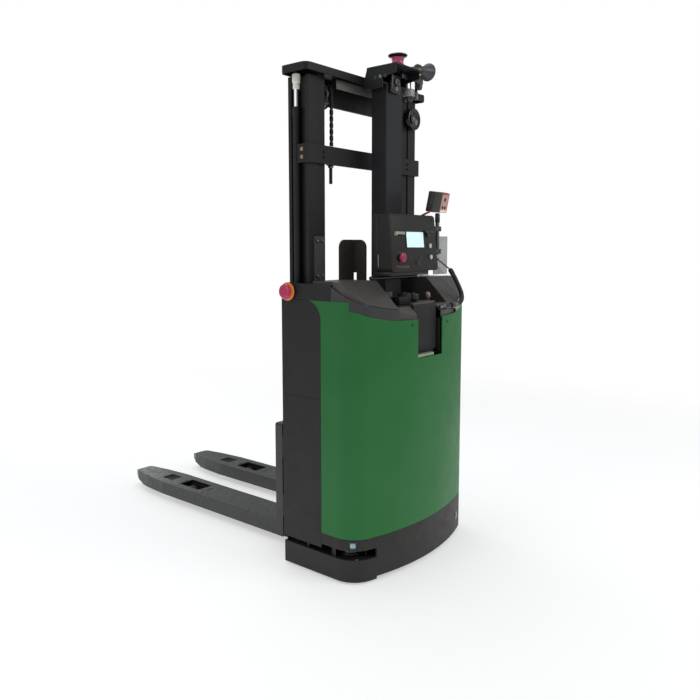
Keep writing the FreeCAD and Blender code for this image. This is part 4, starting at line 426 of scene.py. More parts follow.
def lathe(profile, start, toward=upward, sides=40):
    # profile pairs are (radius, distance along the axis)
    bm = bmesh.new()
    verts = [bm.verts.new((radius, 0, along)) for radius, along in profile]
    edges = [bm.edges.new(pair) for pair in zip(verts, verts[1:])]
    bmesh.ops.spin(bm, geom=verts + edges, cent=(0, 0, 0), axis=upward, angle=math.tau,
                   steps=sides, use_merge=True)
    bmesh.ops.remove_doubles(bm, verts=bm.verts, dist=1e-6)
    place, _ = alongAxis(start, Vector(start) + Vector(toward))
    bmesh.ops.transform(bm, matrix=place, verts=bm.verts)
    return bm


def mirrored(half, long=0.0):
    # a closed profile that is alike from both ends of its length
    return half + [(radius, long - along) for radius, along in reversed(half)] + half[:1]


def prism(outline, carry, soft=0.0, steps=2):
    # a plate: its outline's points, carried along a vector
    bm = bmesh.new()
    face = bm.faces.new([bm.verts.new(point) for point in outline])
    made = bmesh.ops.extrude_face_region(bm, geom=[face])
    bmesh.ops.translate(bm, vec=carry,
                        verts=[item for item in made["geom"] if isinstance(item, bmesh.types.BMVert)])
    bmesh.ops.recalc_face_normals(bm, faces=bm.faces)
    return soften(bm, bm.edges, soft, steps)


def ball(at, radius, flat=1.0, toward=upward):
    bm = bmesh.new()
    place, _ = alongAxis(at, Vector(at) + Vector(toward))
    bmesh.ops.create_uvsphere(bm, u_segments=24, v_segments=14, radius=radius,
                              matrix=place @ Matrix.Diagonal((1, 1, flat, 1)))
    return bm


def hexBolt(piece, at, toward, size, look="bareSteel", washer=True):
    at, toward = Vector(at), Vector(toward).normalized()
    if washer:
        add(piece, barrel(at, at + toward * size * 0.16, size * 0.85, sides=24, soft=size * 0.03, steps=1),
            look)
    # the hexagon, then the shank's end that stands out of it: start, end, radius, sides and softness
    for start, end, radius, sides, soft in ((0.15, 0.62, 0.56, 6, 0.06), (0.60, 0.82, 0.30, 20, 0.05)):
        add(piece, barrel(at + toward * size * start, at + toward * size * end, size * radius, sides=sides,
                          soft=size * soft), look)


def capScrew(piece, at, toward, size, look="darkSteel"):
    # a button head with its hexagon recess, as shares of the head's radius
    head = [(0, 0), (1, 0), (1, 0.10), (0.94, 0.30), (0.72, 0.48), (0.50, 0.54), (0.44, 0.22), (0, 0.20)]
    add(piece, lathe([(size * radius, size * along) for radius, along in head], Vector(at),
                     Vector(toward).normalized(), sides=24), look)


def startPiece(name):
    return {"name": name, "mesh": bmesh.new(), "looks": []}


def add(piece, shape, look, place=None):
    if look not in piece["looks"]:
        piece["looks"].append(look)
    if place:
        bmesh.ops.transform(shape, matrix=place, verts=shape.verts)
    bmesh.ops.recalc_face_normals(shape, faces=shape.faces)
    for face in shape.faces:
        face.material_index, face.smooth = piece["looks"].index(look), True
    held = bpy.data.meshes.new("held")
    shape.to_mesh(held)
    piece["mesh"].from_mesh(held)
    bpy.data.meshes.remove(held)
    shape.free()


def setPiece(piece, body, replaced=(), crease=32):
    mesh = bpy.data.meshes.new(piece["name"])
    piece["mesh"].to_mesh(mesh)
    piece["mesh"].free()
    mesh.set_sharp_from_angle(angle=math.radians(crease))
    for look in piece["looks"]:
        mesh.materials.append(paint(look))
    obj = bpy.data.objects.new(piece["name"], mesh)
    bpy.context.scene.collection.objects.link(obj)
    if body:
        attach(obj, body)
    if replaced:
        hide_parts(*replaced)
    return obj


def softTube(name, spots, radius, roundness):
    # one smooth open line through the spots, as a tube
    data = bpy.data.curves.new(name, "CURVE")
    data.dimensions, data.use_fill_caps = "3D", True
    data.bevel_depth, data.bevel_resolution = radius, roundness
    line = data.splines.new("NURBS")
    line.points.add(len(spots) - 1)
    for point, spot in zip(line.points, spots):
        point.co = (*spot, 1)
    line.order_u, line.use_endpoint_u = 3, True
    return data


# two short leads: a thin one from the control box, and the conduit that takes it into the top cover
leadSet = {"radius": 0.0035, "look": "leadGrey",
           "route": [(0.1843, 0.352, 1.276), (0.202, 0.352, 1.276), (0.226, 0.357, 1.263),
                     (0.256, 0.361, 1.246), (0.288, 0.366, 1.229)]}
conduitSet = {"radius": 0.010, "look": "cableRubber",
              "route": [(0.288, 0.366, 1.229), (0.306, 0.374, 1.203), (0.316, 0.383, 1.177),
                        (0.321, 0.395, 1.150), (0.319, 0.408, 1.124), (0.303, 0.421, 1.101),
                        (0.276, 0.430, 1.087), (0.250, 0.434, 1.080), (0.228, 0.433, 1.076),
                        (0.2103, 0.433, 1.076)]}


sleeveSet = {"mouth": [(0.0036, -0.004), (0.0068, -0.003), (0.0098, 0.002), (0.0112, 0.006), (0.0112, 0.022),
                       (0.0104, 0.025), (0.0100, 0.025)],
             "relief": [(0.0090, -0.010), (0.0090, -0.004), (0.0078, -0.002), (0.0066, 0.004),
                        (0.0056, 0.012), (0.0048, 0.020), (0.0037, 0.024), (0.0036, 0.018)],
             "union": [(0.0102, -0.016), (0.0125, -0.014), (0.0138, -0.010), (0.0138, -0.001),
                       (0.0152, 0.000), (0.0152, 0.0088), (0.0140, 0.0100), (0.0100, 0.0100)],
             "unionBack": 0.010}


def makeCord(name, settings, replaced):
    # route points are X, the distance behind the body's front, and Z
    spots = [Vector((across, frontY - back, up)) for across, back, up in settings["route"]]
    data = softTube(name, spots, settings["radius"], 6)
    data.resolution_u = 16
    data.materials.append(paint(settings["look"]))
    cable = bpy.data.objects.new(name, data)
    bpy.context.scene.collection.objects.link(cable)
    bare = data.copy()
    bare.bevel_depth = 0
    probe = bpy.data.objects.new("probe", bare)
    mesh = bpy.data.meshes.new_from_object(probe)
    bpy.data.objects.remove(probe)
    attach(cable, "chassis")
    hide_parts(*replaced)
    return spots


def makeCords():
    s = sleeveSet
    thin = makeCord("controlLead", leadSet, ["box_cable"])
    thick = makeCord("leadConduit", conduitSet, ["box_cable"])
    ends = startPiece("leadSleeves")
    away, relief, home = [(after - before).normalized() for before, after in
                          ((thick[0], thick[1]), (thin[0], thin[1]), (thick[-2], thick[-1]))]
    add(ends, lathe(s["mouth"], thick[0], away, sides=28), "cableRubber")
    add(ends, lathe(s["relief"], thin[0], relief, sides=28), "cableRubber")
    add(ends, lathe(s["union"], thick[-1] - home * s["unionBack"], home, sides=12), "bareSteel")
    setPiece(ends, "chassis")


# lift cylinders: a tube with its gland and hose union, and a rod under a pale fitting and its nut
ramSet = {"x": 0.370, "y": -0.481, "foot": 0.099, "top": 1.887, "tube": 0.016, "gland": 0.0165,
          "rod": 0.010, "rodLow": 0.300, "eyeLow": 1.962, "unionUp": 0.10, "unionIn": 0.003,
          "unionOut": 0.010, "union": 0.009, "fittingZ": 1.9550, "nutLow": 2.0130, "nutHigh": 2.0335,
          "nut": 0.0120,
          "fitting": [(0.0098, 0), (0.0122, 0.001), (0.0136, 0.004), (0.0136, 0.019), (0.0128, 0.021),
                      (0.0128, 0.023), (0.0160, 0.0265), (0.0162, 0.0560), (0.0150, 0.0585), (0, 0.0585)]}


def makeRams():
    tubes, rods = startPiece("liftCylinders"), startPiece("liftRods")
    r = ramSet
    tube, gland, rod = r["tube"], r["gland"], r["rod"]
    tall, reach = r["top"] - r["foot"], r["eyeLow"] - r["rodLow"]
    for side in (-1, 1):
        x, y = side * r["x"], r["y"]
        add(tubes, lathe([(0, 0), (tube, 0), (tube, 0.012), (tube - 0.0012, 0.015),
                          (tube - 0.0012, tall - 0.040), (tube - 0.0006, tall - 0.038),
                          (tube - 0.0006, tall - 0.029), (gland, tall - 0.027), (gland, tall - 0.016),
                          (gland - 0.0012, tall - 0.0150), (gland - 0.0012, tall - 0.0125),
                          (gland, tall - 0.0115), (gland, tall - 0.002), (gland - 0.002, tall),
                          (rod + 0.0012, tall), (rod + 0.0004, tall - 0.002), (rod + 0.0004, tall - 0.030)],
                         (x, y, r["foot"])), "mastPaint")
        union = Vector((x, y - tube, r["foot"] + r["unionUp"]))
        add(tubes, barrel(union + Vector((0, r["unionIn"], 0)), union - Vector((0, r["unionOut"], 0)),
                          r["union"], sides=6, soft=0.001), "darkSteel")
        add(rods, lathe([(0, 0), (0.0112, 0.001), (0.0112, 0.038), (rod, 0.040), (rod, reach - 0.004),
                         (rod - 0.001, reach + 0.006), (0, reach + 0.006)], (x, y, r["rodLow"])), "chrome")
        add(rods, lathe(r["fitting"], (x, y, r["fittingZ"]), sides=32), "creamFitting")
        add(rods, barrel((x, y, r["nutLow"]), (x, y, r["nutHigh"]), r["nut"], sides=6, soft=0.001),
            "darkSteel")
    setPiece(tubes, "chassis", ["cylinder_tubes"])
    setPiece(rods, "inner_mast", ["cylinder_rods"])


# leaf chain: links of three plates and links of two by turns, on one pin each pitch
chainSet = {"pitch": 0.0127, "thick": 0.011, "x": 0.225, "rear": -0.5418, "front": -0.4302,
            "sheaveZ": 1.950, "sheaveY": -0.486, "rearLow": 1.704, "frontLow": 0.262,
            "wide": (-0.0056, 0.0, 0.0056), "narrow": (-0.0028, 0.0028), "plate": 0.0024,
            "turns": 14, "crease": 40}


def linkPlates(offsets, pitch, tall, plate):
    # plates stand across X, the pins lie along X, and the link runs along Z from one pin to the next
    bm = bmesh.new()
    for offset in offsets:
        made = bmesh.ops.create_circle(bm, cap_ends=True, segments=8, radius=tall / 2,
                                       matrix=Matrix.Rotation(math.pi / 2, 4, "Y")
                                       @ Matrix.Rotation(math.pi / 8, 4, "Z"))
        for vert in made["verts"]:
            vert.co.z += math.copysign(pitch / 2, vert.co.z)
            vert.co.x = offset - plate / 2
        face = made["verts"][0].link_faces[0]
        raised = bmesh.ops.extrude_face_region(bm, geom=[face])
        bmesh.ops.translate(bm, vec=(plate, 0, 0), verts=[item for item in raised["geom"]
                                                         if isinstance(item, bmesh.types.BMVert)])
    bmesh.ops.recalc_face_normals(bm, faces=bm.faces)
    return bm


def makeChains():
    c = chainSet
    wide = linkPlates(c["wide"], c["pitch"], c["thick"] - 0.0008, c["plate"])
    narrow = linkPlates(c["narrow"], c["pitch"], c["thick"] - 0.0022, c["plate"] + 0.0008)

    def strand(name, body, node, places):
        piece = startPiece(name)
        for side in (-1, 1):
            for number, place in enumerate(places):
                link = (wide if number % 2 else narrow).copy()
                add(piece, link, "darkSteel", Matrix.Translation((side * c["x"], 0, 0)) @ place)
        return setPiece(piece, body, [node], c["crease"])

    def run(low, high, y):
        count = round((high - low) / c["pitch"])
        step = (high - low) / count
        return [Matrix.Translation((0, y, low + step * (number + 0.5))) for number in range(count)]

    around = [Matrix.Translation((0, c["sheaveY"], c["sheaveZ"]))
              @ Matrix.Rotation(-math.pi * (number + 0.5) / c["turns"], 4, "X")
              @ Matrix.Translation((0, c["rear"] - c["sheaveY"], 0)) for number in range(c["turns"])]
    rear = strand("leafChainRear", None, "chain_rear", run(c["rearLow"], c["sheaveZ"], c["rear"]))
    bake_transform(rear)
    fore = strand("leafChainFront", None, "chain_front", run(c["frontLow"], c["sheaveZ"], c["front"]))
    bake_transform(fore)
    strand("leafChainOver", "inner_mast", "chain_wraps", around)
    wide.free()
    narrow.free()


sheaveSet = {"x": 0.230, "y": -0.486, "z": 1.950, "half": 0.016, "rim": 0.055, "root": 0.050,
             "web": 0.006, "hub": 0.019, "bore": 0.0092, "holes": 6, "holeCircle": 0.032}


def makeSheaves():
    s = sheaveSet
    piece = startPiece("chainSheaves")
    half, web, hub, rim, root = s["half"], s["web"], s["hub"], s["rim"], s["root"]
    wheel = mirrored([(s["bore"], -half), (hub, -half), (hub + 0.001, -half + 0.001), (hub + 0.001, -web),
                      (root - 0.008, -web), (root - 0.006, -half + 0.002), (rim - 0.001, -half),
                      (rim, -half + 0.0008), (rim, -half + 0.0016), (root + 0.0003, -half + 0.0022)])
    hole = mirrored([(0.0035, -web - 0.0006), (0.0062, -web - 0.0006), (0.0066, -web + 0.0004)])
    for side in (-1, 1):
        at = Vector((side * s["x"], s["y"], s["z"]))
        add(piece, lathe(wheel, at, outward, sides=56), "bareSteel")
        for number in range(s["holes"]):
            turn = math.tau * number / s["holes"]
            spot = at + Vector((0, math.cos(turn), math.sin(turn))) * s["holeCircle"]
            add(piece, lathe(hole, spot, outward, sides=16), "darkSteel")
    setPiece(piece, "sheaves", ["chain_sheaves"])


bracketSet = {"left": -0.087, "holeZ": 2.040, "holeY": -0.712, "hole": 0.0075, "screwTop": 2.068,
              "plugLow": 2.0682, "screws": [(-0.060, -0.630), (0.060, -0.630), (-0.060, -0.742),
                                            (0.092, -0.742), (0.092, -0.630)],
              "plugs": [(0.072, -0.744, "bluePlug", 0.014), (0.105, -0.748, "limePlug", 0.012)],
              "knob": [(0, -0.006), (0.008, -0.006), (0.009, -0.004), (0.009, 0.004), (0.0135, 0.006),
                       (0.0150, 0.009), (0.0150, 0.019), (0.0135, 0.022), (0.006, 0.0235), (0, 0.0235)],
              "feeler": [(0, 0), (0.0085, 0), (0.0100, 0.0015), (0.0100, 0.0150), (0.0088, 0.0165),
                         (0.0088, 0.0185), (0.0100, 0.0200), (0.0100, 0.0290), (0.0085, 0.0305),
                         (0, 0.0305)], "hangers": [((0.1530, -0.709, 1.9955), (0.1590, -0.697, 2.0620)),
                                                   ((0.0600, -0.668, 1.9930), (0.1450, -0.663, 2.0615)),
                                                   ((0.0280, -0.717, 2.0330), (0.1900, -0.713, 2.0615))]}


def makeHeadDetails():
    b = bracketSet
    piece = startPiece("headFastenings")
    capScrew(piece, (b["left"], -0.688, 2.023), (-1, 0, 0), 0.0078, "bareSteel")
    for y, z in ((b["holeY"], b["holeZ"] - 0.016), (-0.662, 2.022)):
        add(piece, barrel((b["left"] - 0.0004, y, z), (b["left"] + 0.0006, y, z), b["hole"], sides=28),
            "lensBlack")
    for x, y in b["screws"]:
        capScrew(piece, (x, y, b["screwTop"]), upward, 0.0052, "darkSteel")
    # two moulded plugs beside the scanner's foot, with their short leads
    for x, y, look, wide in b["plugs"]:
        low = b["plugLow"]
        add(piece, brick((x - wide, y - 0.008, low), (x + wide, y + 0.008, low + 0.0118), 0.002), look)
        add(piece, barrel((x + wide - 0.001, y, low + 0.0063), (x + wide + 0.012, y, low + 0.0053),
                          0.0042, 0.0030, sides=16, soft=0.0006), "cableRubber")
    # clamping knob under the horn's arm, a capped feeler beside the dome, and their hangers
    add(piece, lathe(b["knob"], (0.158, -0.704, 2.021), (0.2, -1, -0.15), sides=24), "hornGrey")
    add(piece, lathe(b["feeler"], (0.156, -0.703, 1.965), sides=28), "feelerRose")
    for low, high in b["hangers"]:
        add(piece, brick(low, high, 0.0010), "sensorBlack")
    setPiece(piece, "chassis")


lidarSet = {"x": 0.015, "y": -0.703, "low": 2.0685, "waist": 0.0235, "foot": 0.0355, "head": 0.0285,
            "tall": 0.0460, "capLow": 2.1152, "capRadius": 0.0405, "rotor": 0.0143}


def makeLidar():
    s = lidarSet
    at = (s["x"], s["y"], s["low"])
    window = startPiece("lidarWindow")
    add(window, lathe([(s["foot"] - 0.003, 0.0078), (s["foot"], 0.0080), (s["foot"] - 0.0034, 0.0130),
                       (s["waist"] + 0.0022, 0.0205), (s["waist"], 0.0265), (s["waist"] + 0.0008, 0.0310),
                       (s["head"] - 0.0016, 0.0400), (s["head"], s["tall"] - 0.0010),
                       (s["head"] - 0.003, s["tall"] - 0.0010), (s["waist"] - 0.0022, 0.0310),
                       (s["waist"] - 0.0030, 0.0265), (s["waist"] - 0.0008, 0.0205),
                       (s["foot"] - 0.003, 0.0078)], at, sides=56), "lidarGlass")
    add(window, lathe([(0, 0), (s["foot"] - 0.001, 0), (s["foot"] + 0.0003, 0.0015),
                       (s["foot"] + 0.0003, 0.0065), (s["foot"] - 0.001, 0.0079), (0, 0.0079)], at,
                      sides=48), "sensorBlack")
    setPiece(window, "chassis", ["lidar_window"])
    cap = startPiece("lidarCap")
    add(cap, lathe([(0, 0), (s["head"] - 0.002, 0), (s["capRadius"] - 0.003, 0.0030),
                    (s["capRadius"], 0.0060), (s["capRadius"], 0.0085), (s["capRadius"] - 0.0025, 0.0110),
                    (s["capRadius"] - 0.012, 0.0138), (s["capRadius"] - 0.024, 0.0152), (0, 0.0157)],
                   (s["x"], s["y"], s["capLow"]), sides=56), "sensorBlack")
    setPiece(cap, "chassis", ["lidar_cap"])
    rotor = startPiece("lidarRotor")
    low = s["low"] + 0.0088
    for start, tall in ((0, 0.0050), (0.0225, 0.0045)):
        add(rotor, barrel((s["x"], s["y"], low + start), (s["x"], s["y"], low + start + tall), s["rotor"],
                          sides=36, soft=0.0008), "sensorBlack")
    # leaning struts carry the mirror head over its motor
    for side in (-1, 1):
        for lean in (-1, 1):
            foot = Vector((s["x"] + side * 0.0105, s["y"] + lean * 0.0075, low + 0.004))
            head = Vector((s["x"] + side * 0.0040, s["y"] + lean * 0.0040, low + 0.024))
            add(rotor, barrel(foot, head, 0.0030, 0.0024, sides=10, soft=0.0004), "sensorBlack")
    add(rotor, brick((s["x"] - 0.0065, s["y"] - 0.0085, low + 0.003),
                     (s["x"] + 0.0065, s["y"] + 0.0085, low + 0.017), 0.0015), "sensorBlack")
    setPiece(rotor, "lidar", ["lidar_rotor"])


hornSet = {"y": -0.703, "z": 2.098, "throatX": 0.180, "mouthX": 0.2515, "throat": 0.014, "mouth": 0.0388,
           "backX": 0.1565, "driver": 0.0180, "ribs": 5, "ribStep": 0.0032}


def makeHorn():
    s = hornSet
    piece = startPiece("warningHorn")
    long = s["mouthX"] - s["throatX"]
    flare = [(s["throat"] + (s["mouth"] - s["throat"]) * step ** 1.7, long * step)
             for step in (0, 0.15, 0.3, 0.45, 0.6, 0.75, 0.87, 0.96)]
    bell = flare + [(s["mouth"], long - 0.0012), (s["mouth"] - 0.0004, long), (s["mouth"] - 0.0028, long),
                    (s["mouth"] - 0.0034, long - 0.0014)]
    bell += [(max(radius - 0.0028, 0.004), along) for radius, along in reversed(flare)]
    bell += [(0, 0.001)]
    add(piece, lathe([(0, -0.0030)] + [(s["throat"] - 0.001, -0.0030)] + bell,
                     (s["throatX"], s["y"], s["z"]), outward, sides=56), "hornGrey")
    add(piece, lathe([(0, 0), (s["driver"] - 0.002, 0), (s["driver"], 0.002), (s["driver"], 0.019),
                      (s["driver"] - 0.0015, 0.021), (s["throat"] + 0.001, 0.0235), (0, 0.0235)],
                     (s["backX"], s["y"], s["z"]), outward, sides=40), "hornGrey")
    for number in range(s["ribs"]):
        x = s["backX"] + 0.004 + s["ribStep"] * number
        add(piece, lathe([(s["driver"] - 0.001, 0), (s["driver"] + 0.0010, 0.0004),
                          (s["driver"] + 0.0010, 0.0012), (s["driver"] - 0.001, 0.0016),
                          (s["driver"] - 0.001, 0)], (x, s["y"], s["z"]), outward, sides=36), "hornGrey")
    add(piece, brick((0.161, s["y"] - 0.008, 2.068), (0.1695, s["y"] + 0.008, 2.0860), 0.0012), "postPaint")
    capScrew(piece, (0.1653, s["y"] - 0.008, 2.074), rearward, 0.0035, "bareSteel")
    setPiece(piece, "chassis", ["horn"])


cameraBoxSet = {"x": -0.008, "z": 2.010, "half": 0.0328, "low": 1.9665, "high": 2.0395, "rear": -0.7138,
                "front": -0.6985, "lens": 0.017, "small": 0.008, "smallZ": 1.983}


def makeRearCamera():
    s = cameraBoxSet
    piece = startPiece("rearCamera")
    add(piece, brick((s["x"] - s["half"], s["rear"], s["low"]), (s["x"] + s["half"], s["front"], s["high"]),
                     0.0045, 3), "sensorBlack")
    out = rearward
    at = (s["x"], s["rear"], s["z"])
    add(piece, lathe([(0.0125, 0), (s["lens"], 0), (s["lens"], 0.0052), (s["lens"] - 0.0010, 0.0070),
                      (s["lens"] - 0.0026, 0.0078), (0.0132, 0.0074), (0.0125, 0.0050), (0.0125, 0)], at,
                     out, sides=48), "sensorBlack")
    add(piece, lathe([(0.0092, 0), (0.0126, 0), (0.0126, 0.0058), (0.0118, 0.0068), (0.0100, 0.0068),
                      (0.0092, 0.0050), (0.0092, 0)], at, out, sides=44), "bareSteel")
    add(piece, ball((s["x"], s["rear"] - 0.0012, s["z"]), 0.0094, 0.45, out), "lensBlack")
    low = (s["x"], s["rear"], s["smallZ"])
    add(piece, lathe([(0.0045, 0), (s["small"], 0), (s["small"], 0.0028), (s["small"] - 0.0010, 0.0036),
                      (0.0050, 0.0039), (0.0044, 0.0020), (0.0045, 0)], low, out, sides=32), "sensorGrey")
    add(piece, ball((low[0], low[1] - 0.0006, low[2]), 0.0046, 0.6, out), "lensBlack")
    for x in (-1, 1):
        for z in (s["low"] + 0.007, s["high"] - 0.006):
            capScrew(piece, (s["x"] + x * (s["half"] - 0.007), s["rear"], z), out, 0.0028, "darkSteel")
    setPiece(piece, "chassis", ["rear_camera"])


navSet = {"x": 0.118, "y": -0.691, "top": 2.004, "radius": 0.0248, "tall": 0.032, "dome": 0.022,
          "prong": 0.003, "plate": 2.0615}


def makeNavSensor():
    s = navSet
    piece = startPiece("aerialSensor")
    base = (s["x"], s["y"], s["top"] - s["tall"])
    add(piece, lathe([(0, 0), (s["radius"] - 0.002, 0), (s["radius"], 0.002), (s["radius"], 0.009),
                      (s["radius"] - 0.0008, 0.0100), (s["radius"] - 0.0008, 0.0112), (s["radius"], 0.0122),
                      (s["radius"], s["tall"] - 0.004), (s["radius"] - 0.001, s["tall"] - 0.0015),
                      (s["radius"] - 0.004, s["tall"]), (0, s["tall"])], base, sides=44), "sensorGrey")
    for side in (-1, 1):
        at = (s["x"] + side * s["radius"] / 2, s["y"], s["top"] - 0.0005)
        add(piece, lathe([(0, 0), (0.0062, 0), (0.0062, 0.003), (0.0045, 0.005), (s["prong"], 0.007),
                          (s["prong"], s["plate"] - s["top"] + 0.0004),
                          (0, s["plate"] - s["top"] + 0.0004)], at, sides=20), "sensorGrey")
    add(piece, lathe([(0, 0), (0.0115, 0.0006), (0.0150, 0.0040), (0.0205, 0.0150), (0.0228, 0.0205),
                      (0.0228, s["dome"]), (0, s["dome"])],
                     (s["x"], s["y"], s["top"] - s["tall"] - s["dome"]), sides=40), "sensorBlack")
    setPiece(piece, "chassis", ["nav_sensor"])


workLampSet = {"x": 0.337, "z": 1.922, "front": -0.5535, "deep": 0.0255, "radius": 0.050, "dish": 0.014}


def makeWorkLamp():
    s = workLampSet
    piece = startPiece("mastLamp")
    at, out, deep, r = (s["x"], s["front"], s["z"]), rearward, s["deep"], s["radius"]
    add(piece, lathe([(0, 0), (r - 0.006, 0), (r - 0.002, 0.003), (r, 0.007), (r, deep - 0.004),
                      (r - 0.001, deep - 0.001), (r - 0.003, deep), (r - 0.006, deep - 0.0006),
                      (r - 0.0075, deep - 0.003), (r - 0.012, deep - 0.0080), (0.020, deep - s["dish"]),
                      (0, deep - s["dish"])], at, out, sides=64), "sensorBlack")
    add(piece, lathe([(0, 0.0130), (0.0085, 0.0130), (0.0150, 0.0134), (0.0175, 0.0150), (0.0185, 0.0176),
                      (0.0172, 0.0192), (0.0120, 0.0206), (0, 0.0210)], at, out, sides=48), "hornGrey")
    add(piece, lathe([(0.0, 0.0211), (0.0055, 0.0209), (0.0090, 0.0200), (0.0092, 0.0220), (0.0050, 0.0236),
                      (0.0, 0.0240)], at, out, sides=32), "lampLens")
    for number in range(4):
        turn = math.pi / 4 + math.pi / 2 * number
        spot = Vector(at) + Vector((math.cos(turn) * 0.033, -(deep - 0.0095), math.sin(turn) * 0.033))
        capScrew(piece, spot, (-math.cos(turn) * 0.45, -1, -math.sin(turn) * 0.45), 0.0026, "bareSteel")
    setPiece(piece, "chassis", ["work_lamp"])


panelSet = {"low": 1.230, "high": 1.463, "lowY": -0.815, "highY": -0.791,
            "screws": [(-0.152, 1.444), (0.152, 1.444), (-0.152, 1.249), (0.152, 1.249)],
            "eyelets": [(-0.022, 1.249), (0.032, 1.248), (0.038, 1.285), (-0.037, 1.288)]}


def panelAt(x, z, out=0.0):
    # a point on the leaning front panel, stood off along its normal
    p = panelSet
    y = p["lowY"] + (p["highY"] - p["lowY"]) * (z - p["low"]) / (p["high"] - p["low"])
    return Vector((x, y, z)) + panelNormal() * out


def panelNormal():
    p = panelSet
    return Vector((0, p["low"] - p["high"], p["highY"] - p["lowY"])).normalized()


def panelPlate(x1, x2, z1, z2, out1, out2, soft=0.0006, steps=2):
    corners = [panelAt(x1, z1, out1), panelAt(x2, z1, out1), panelAt(x2, z2, out1), panelAt(x1, z2, out1)]
    return prism(corners, panelNormal() * (out2 - out1), soft, steps)


buttonSet = {"x": 0.117, "heights": {"High": 1.335, "Low": 1.287}, "keyX": 0.017, "keyZ": 1.264}
screenSet = {"x1": -0.0635, "x2": 0.0685, "z1": 1.325, "z2": 1.394, "bezel": 0.0030}


def makePanelDetails():
    p, s, b = panelSet, screenSet, buttonSet
    piece = startPiece("panelFittings")
    out = panelNormal()
    # face plate, a little proud of the box, with its corner screws
    add(piece, panelPlate(-0.1655, 0.1655, 1.2365, 1.4565, -0.0008, 0.0010, 0.0008), "boxPaint")
    for x, z in p["screws"]:
        capScrew(piece, panelAt(x, z, 0.0010), out, 0.0042, "darkSteel")
    for x, z in p["eyelets"]:
        add(piece, lathe([(0.0022, 0), (0.0062, 0), (0.0062, 0.0014), (0.0052, 0.0024), (0.0034, 0.0026),
                          (0.0026, 0.0018), (0.0022, 0)], panelAt(x, z, 0.0008), out, sides=24), "keyBrown")
    # left catch: a pale flat bar that ends in a dark pivot
    add(piece, panelPlate(-0.141, -0.078, 1.3800, 1.3915, 0.0012, 0.0115, 0.0020, 3), "paleLedge")
    add(piece, barrel(panelAt(-0.138, 1.3840, 0.001), panelAt(-0.138, 1.3840, 0.0125), 0.0085, sides=28,
                      soft=0.0012), "paleLedge")
    add(piece, barrel(panelAt(-0.075, 1.3880, 0.001), panelAt(-0.075, 1.3880, 0.0110), 0.0080, sides=28,
                      soft=0.0015), "sensorBlack")
    # right catch: a hooked lever over a black knob
    add(piece, panelPlate(0.078, 0.140, 1.3890, 1.3985, 0.0012, 0.0115, 0.0020, 3), "lampBody")
    add(piece, barrel(panelAt(0.102, 1.3835, 0.001), panelAt(0.102, 1.3835, 0.0100), 0.0115, sides=32,
                      soft=0.0020, steps=3), "sensorBlack")
    add(piece, barrel(panelAt(0.136, 1.3930, 0.001), panelAt(0.136, 1.3930, 0.0100), 0.0065, sides=24,
                      soft=0.0012), "lampBody")
    # blank brown strip, and the rings round the buttons and the key
    add(piece, panelPlate(-0.143, -0.052, 1.2435, 1.2545, 0.0008, 0.0016, 0.0003), "stripBrown")
    for z in b["heights"].values():
        add(piece, lathe([(0.0102, 0), (0.0140, 0), (0.0140, 0.0016), (0.0128, 0.0026), (0.0106, 0.0028),
                          (0.0102, 0.0018), (0.0102, 0)], panelAt(b["x"], z, 0.0008), out, sides=36),
            "sensorBlack")
    add(piece, lathe([(0.0112, 0), (0.0162, 0), (0.0162, 0.0018), (0.0148, 0.0030), (0.0116, 0.0030),
                      (0.0112, 0.0020), (0.0112, 0)], panelAt(b["keyX"], b["keyZ"], 0.0008), out,
                     sides=36), "darkSteel")
    # hinge pin and folded seam on the box's left flank
    add(piece, barrel((-0.1735, -0.745, 1.246), (-0.1735, -0.745, 1.300), 0.0030, sides=16, soft=0.0006),
        "bareSteel")
    add(piece, brick((-0.1732, -0.742, 1.232), (-0.1716, -0.716, 1.460), 0.0006), "boxPaint")
    # dark block under the control box, painted shade of the box's underside
    add(piece, brick((-0.150, -0.790, 1.2130), (0.135, -0.700, 1.2305), 0.0020), "lampBody")
    # top seam strip of the lid and the gland nut for the lead
    add(piece, brick((-0.160, -0.788, 1.4625), (0.160, -0.712, 1.4645), 0.0008), "boxPaint")
    add(piece, barrel((0.1722, -0.793, 1.276), (0.1800, -0.793, 1.276), 0.0118, sides=6, soft=0.0012),
        "sensorBlack")
    setPiece(piece, "chassis")

    screen = startPiece("displayScreen")
    add(screen, panelPlate(s["x1"] - 0.001, s["x2"] + 0.001, s["z1"] - 0.001, s["z2"] + 0.001, -0.003,
                           0.0042, 0.0016, 3), "sensorBlack")
    add(screen, panelPlate(s["x1"] + s["bezel"], s["x2"] - s["bezel"] * 0.6, s["z1"] + 0.003,
                           s["z2"] - 0.0025, 0.0030, 0.0046, 0.0004), "screenGlow")
    setPiece(screen, "chassis", ["display_screen"])


stopSet = {"panelX": -0.112, "panelZ": 1.288, "panelFace": -0.818, "radius": 0.020, "tall": 0.0135,
           "sideY": -0.486, "sideZ": 1.154, "sideFace": 0.447, "sideRadius": 0.030, "ring": 0.037,
           "ringFace": 0.437}


def mushroom(piece, at, toward, radius, tall, stem, stemLong, look):
    # domed head with a grooved rim, on its plunger
    add(piece, lathe([(0, -stemLong), (stem - 0.0008, -stemLong), (stem, -stemLong + 0.001), (stem, 0.0008),
                      (radius * 0.78, 0.0008), (radius - 0.0010, 0.0016), (radius, 0.0030),
                      (radius, tall * 0.42), (radius * 0.975, tall * 0.50), (radius * 0.975, tall * 0.54),
                      (radius * 0.985, tall * 0.60), (radius * 0.93, tall * 0.80),
                      (radius * 0.80, tall * 0.93), (radius * 0.55, tall * 0.99), (0, tall)], at, toward,
                     sides=56), look)


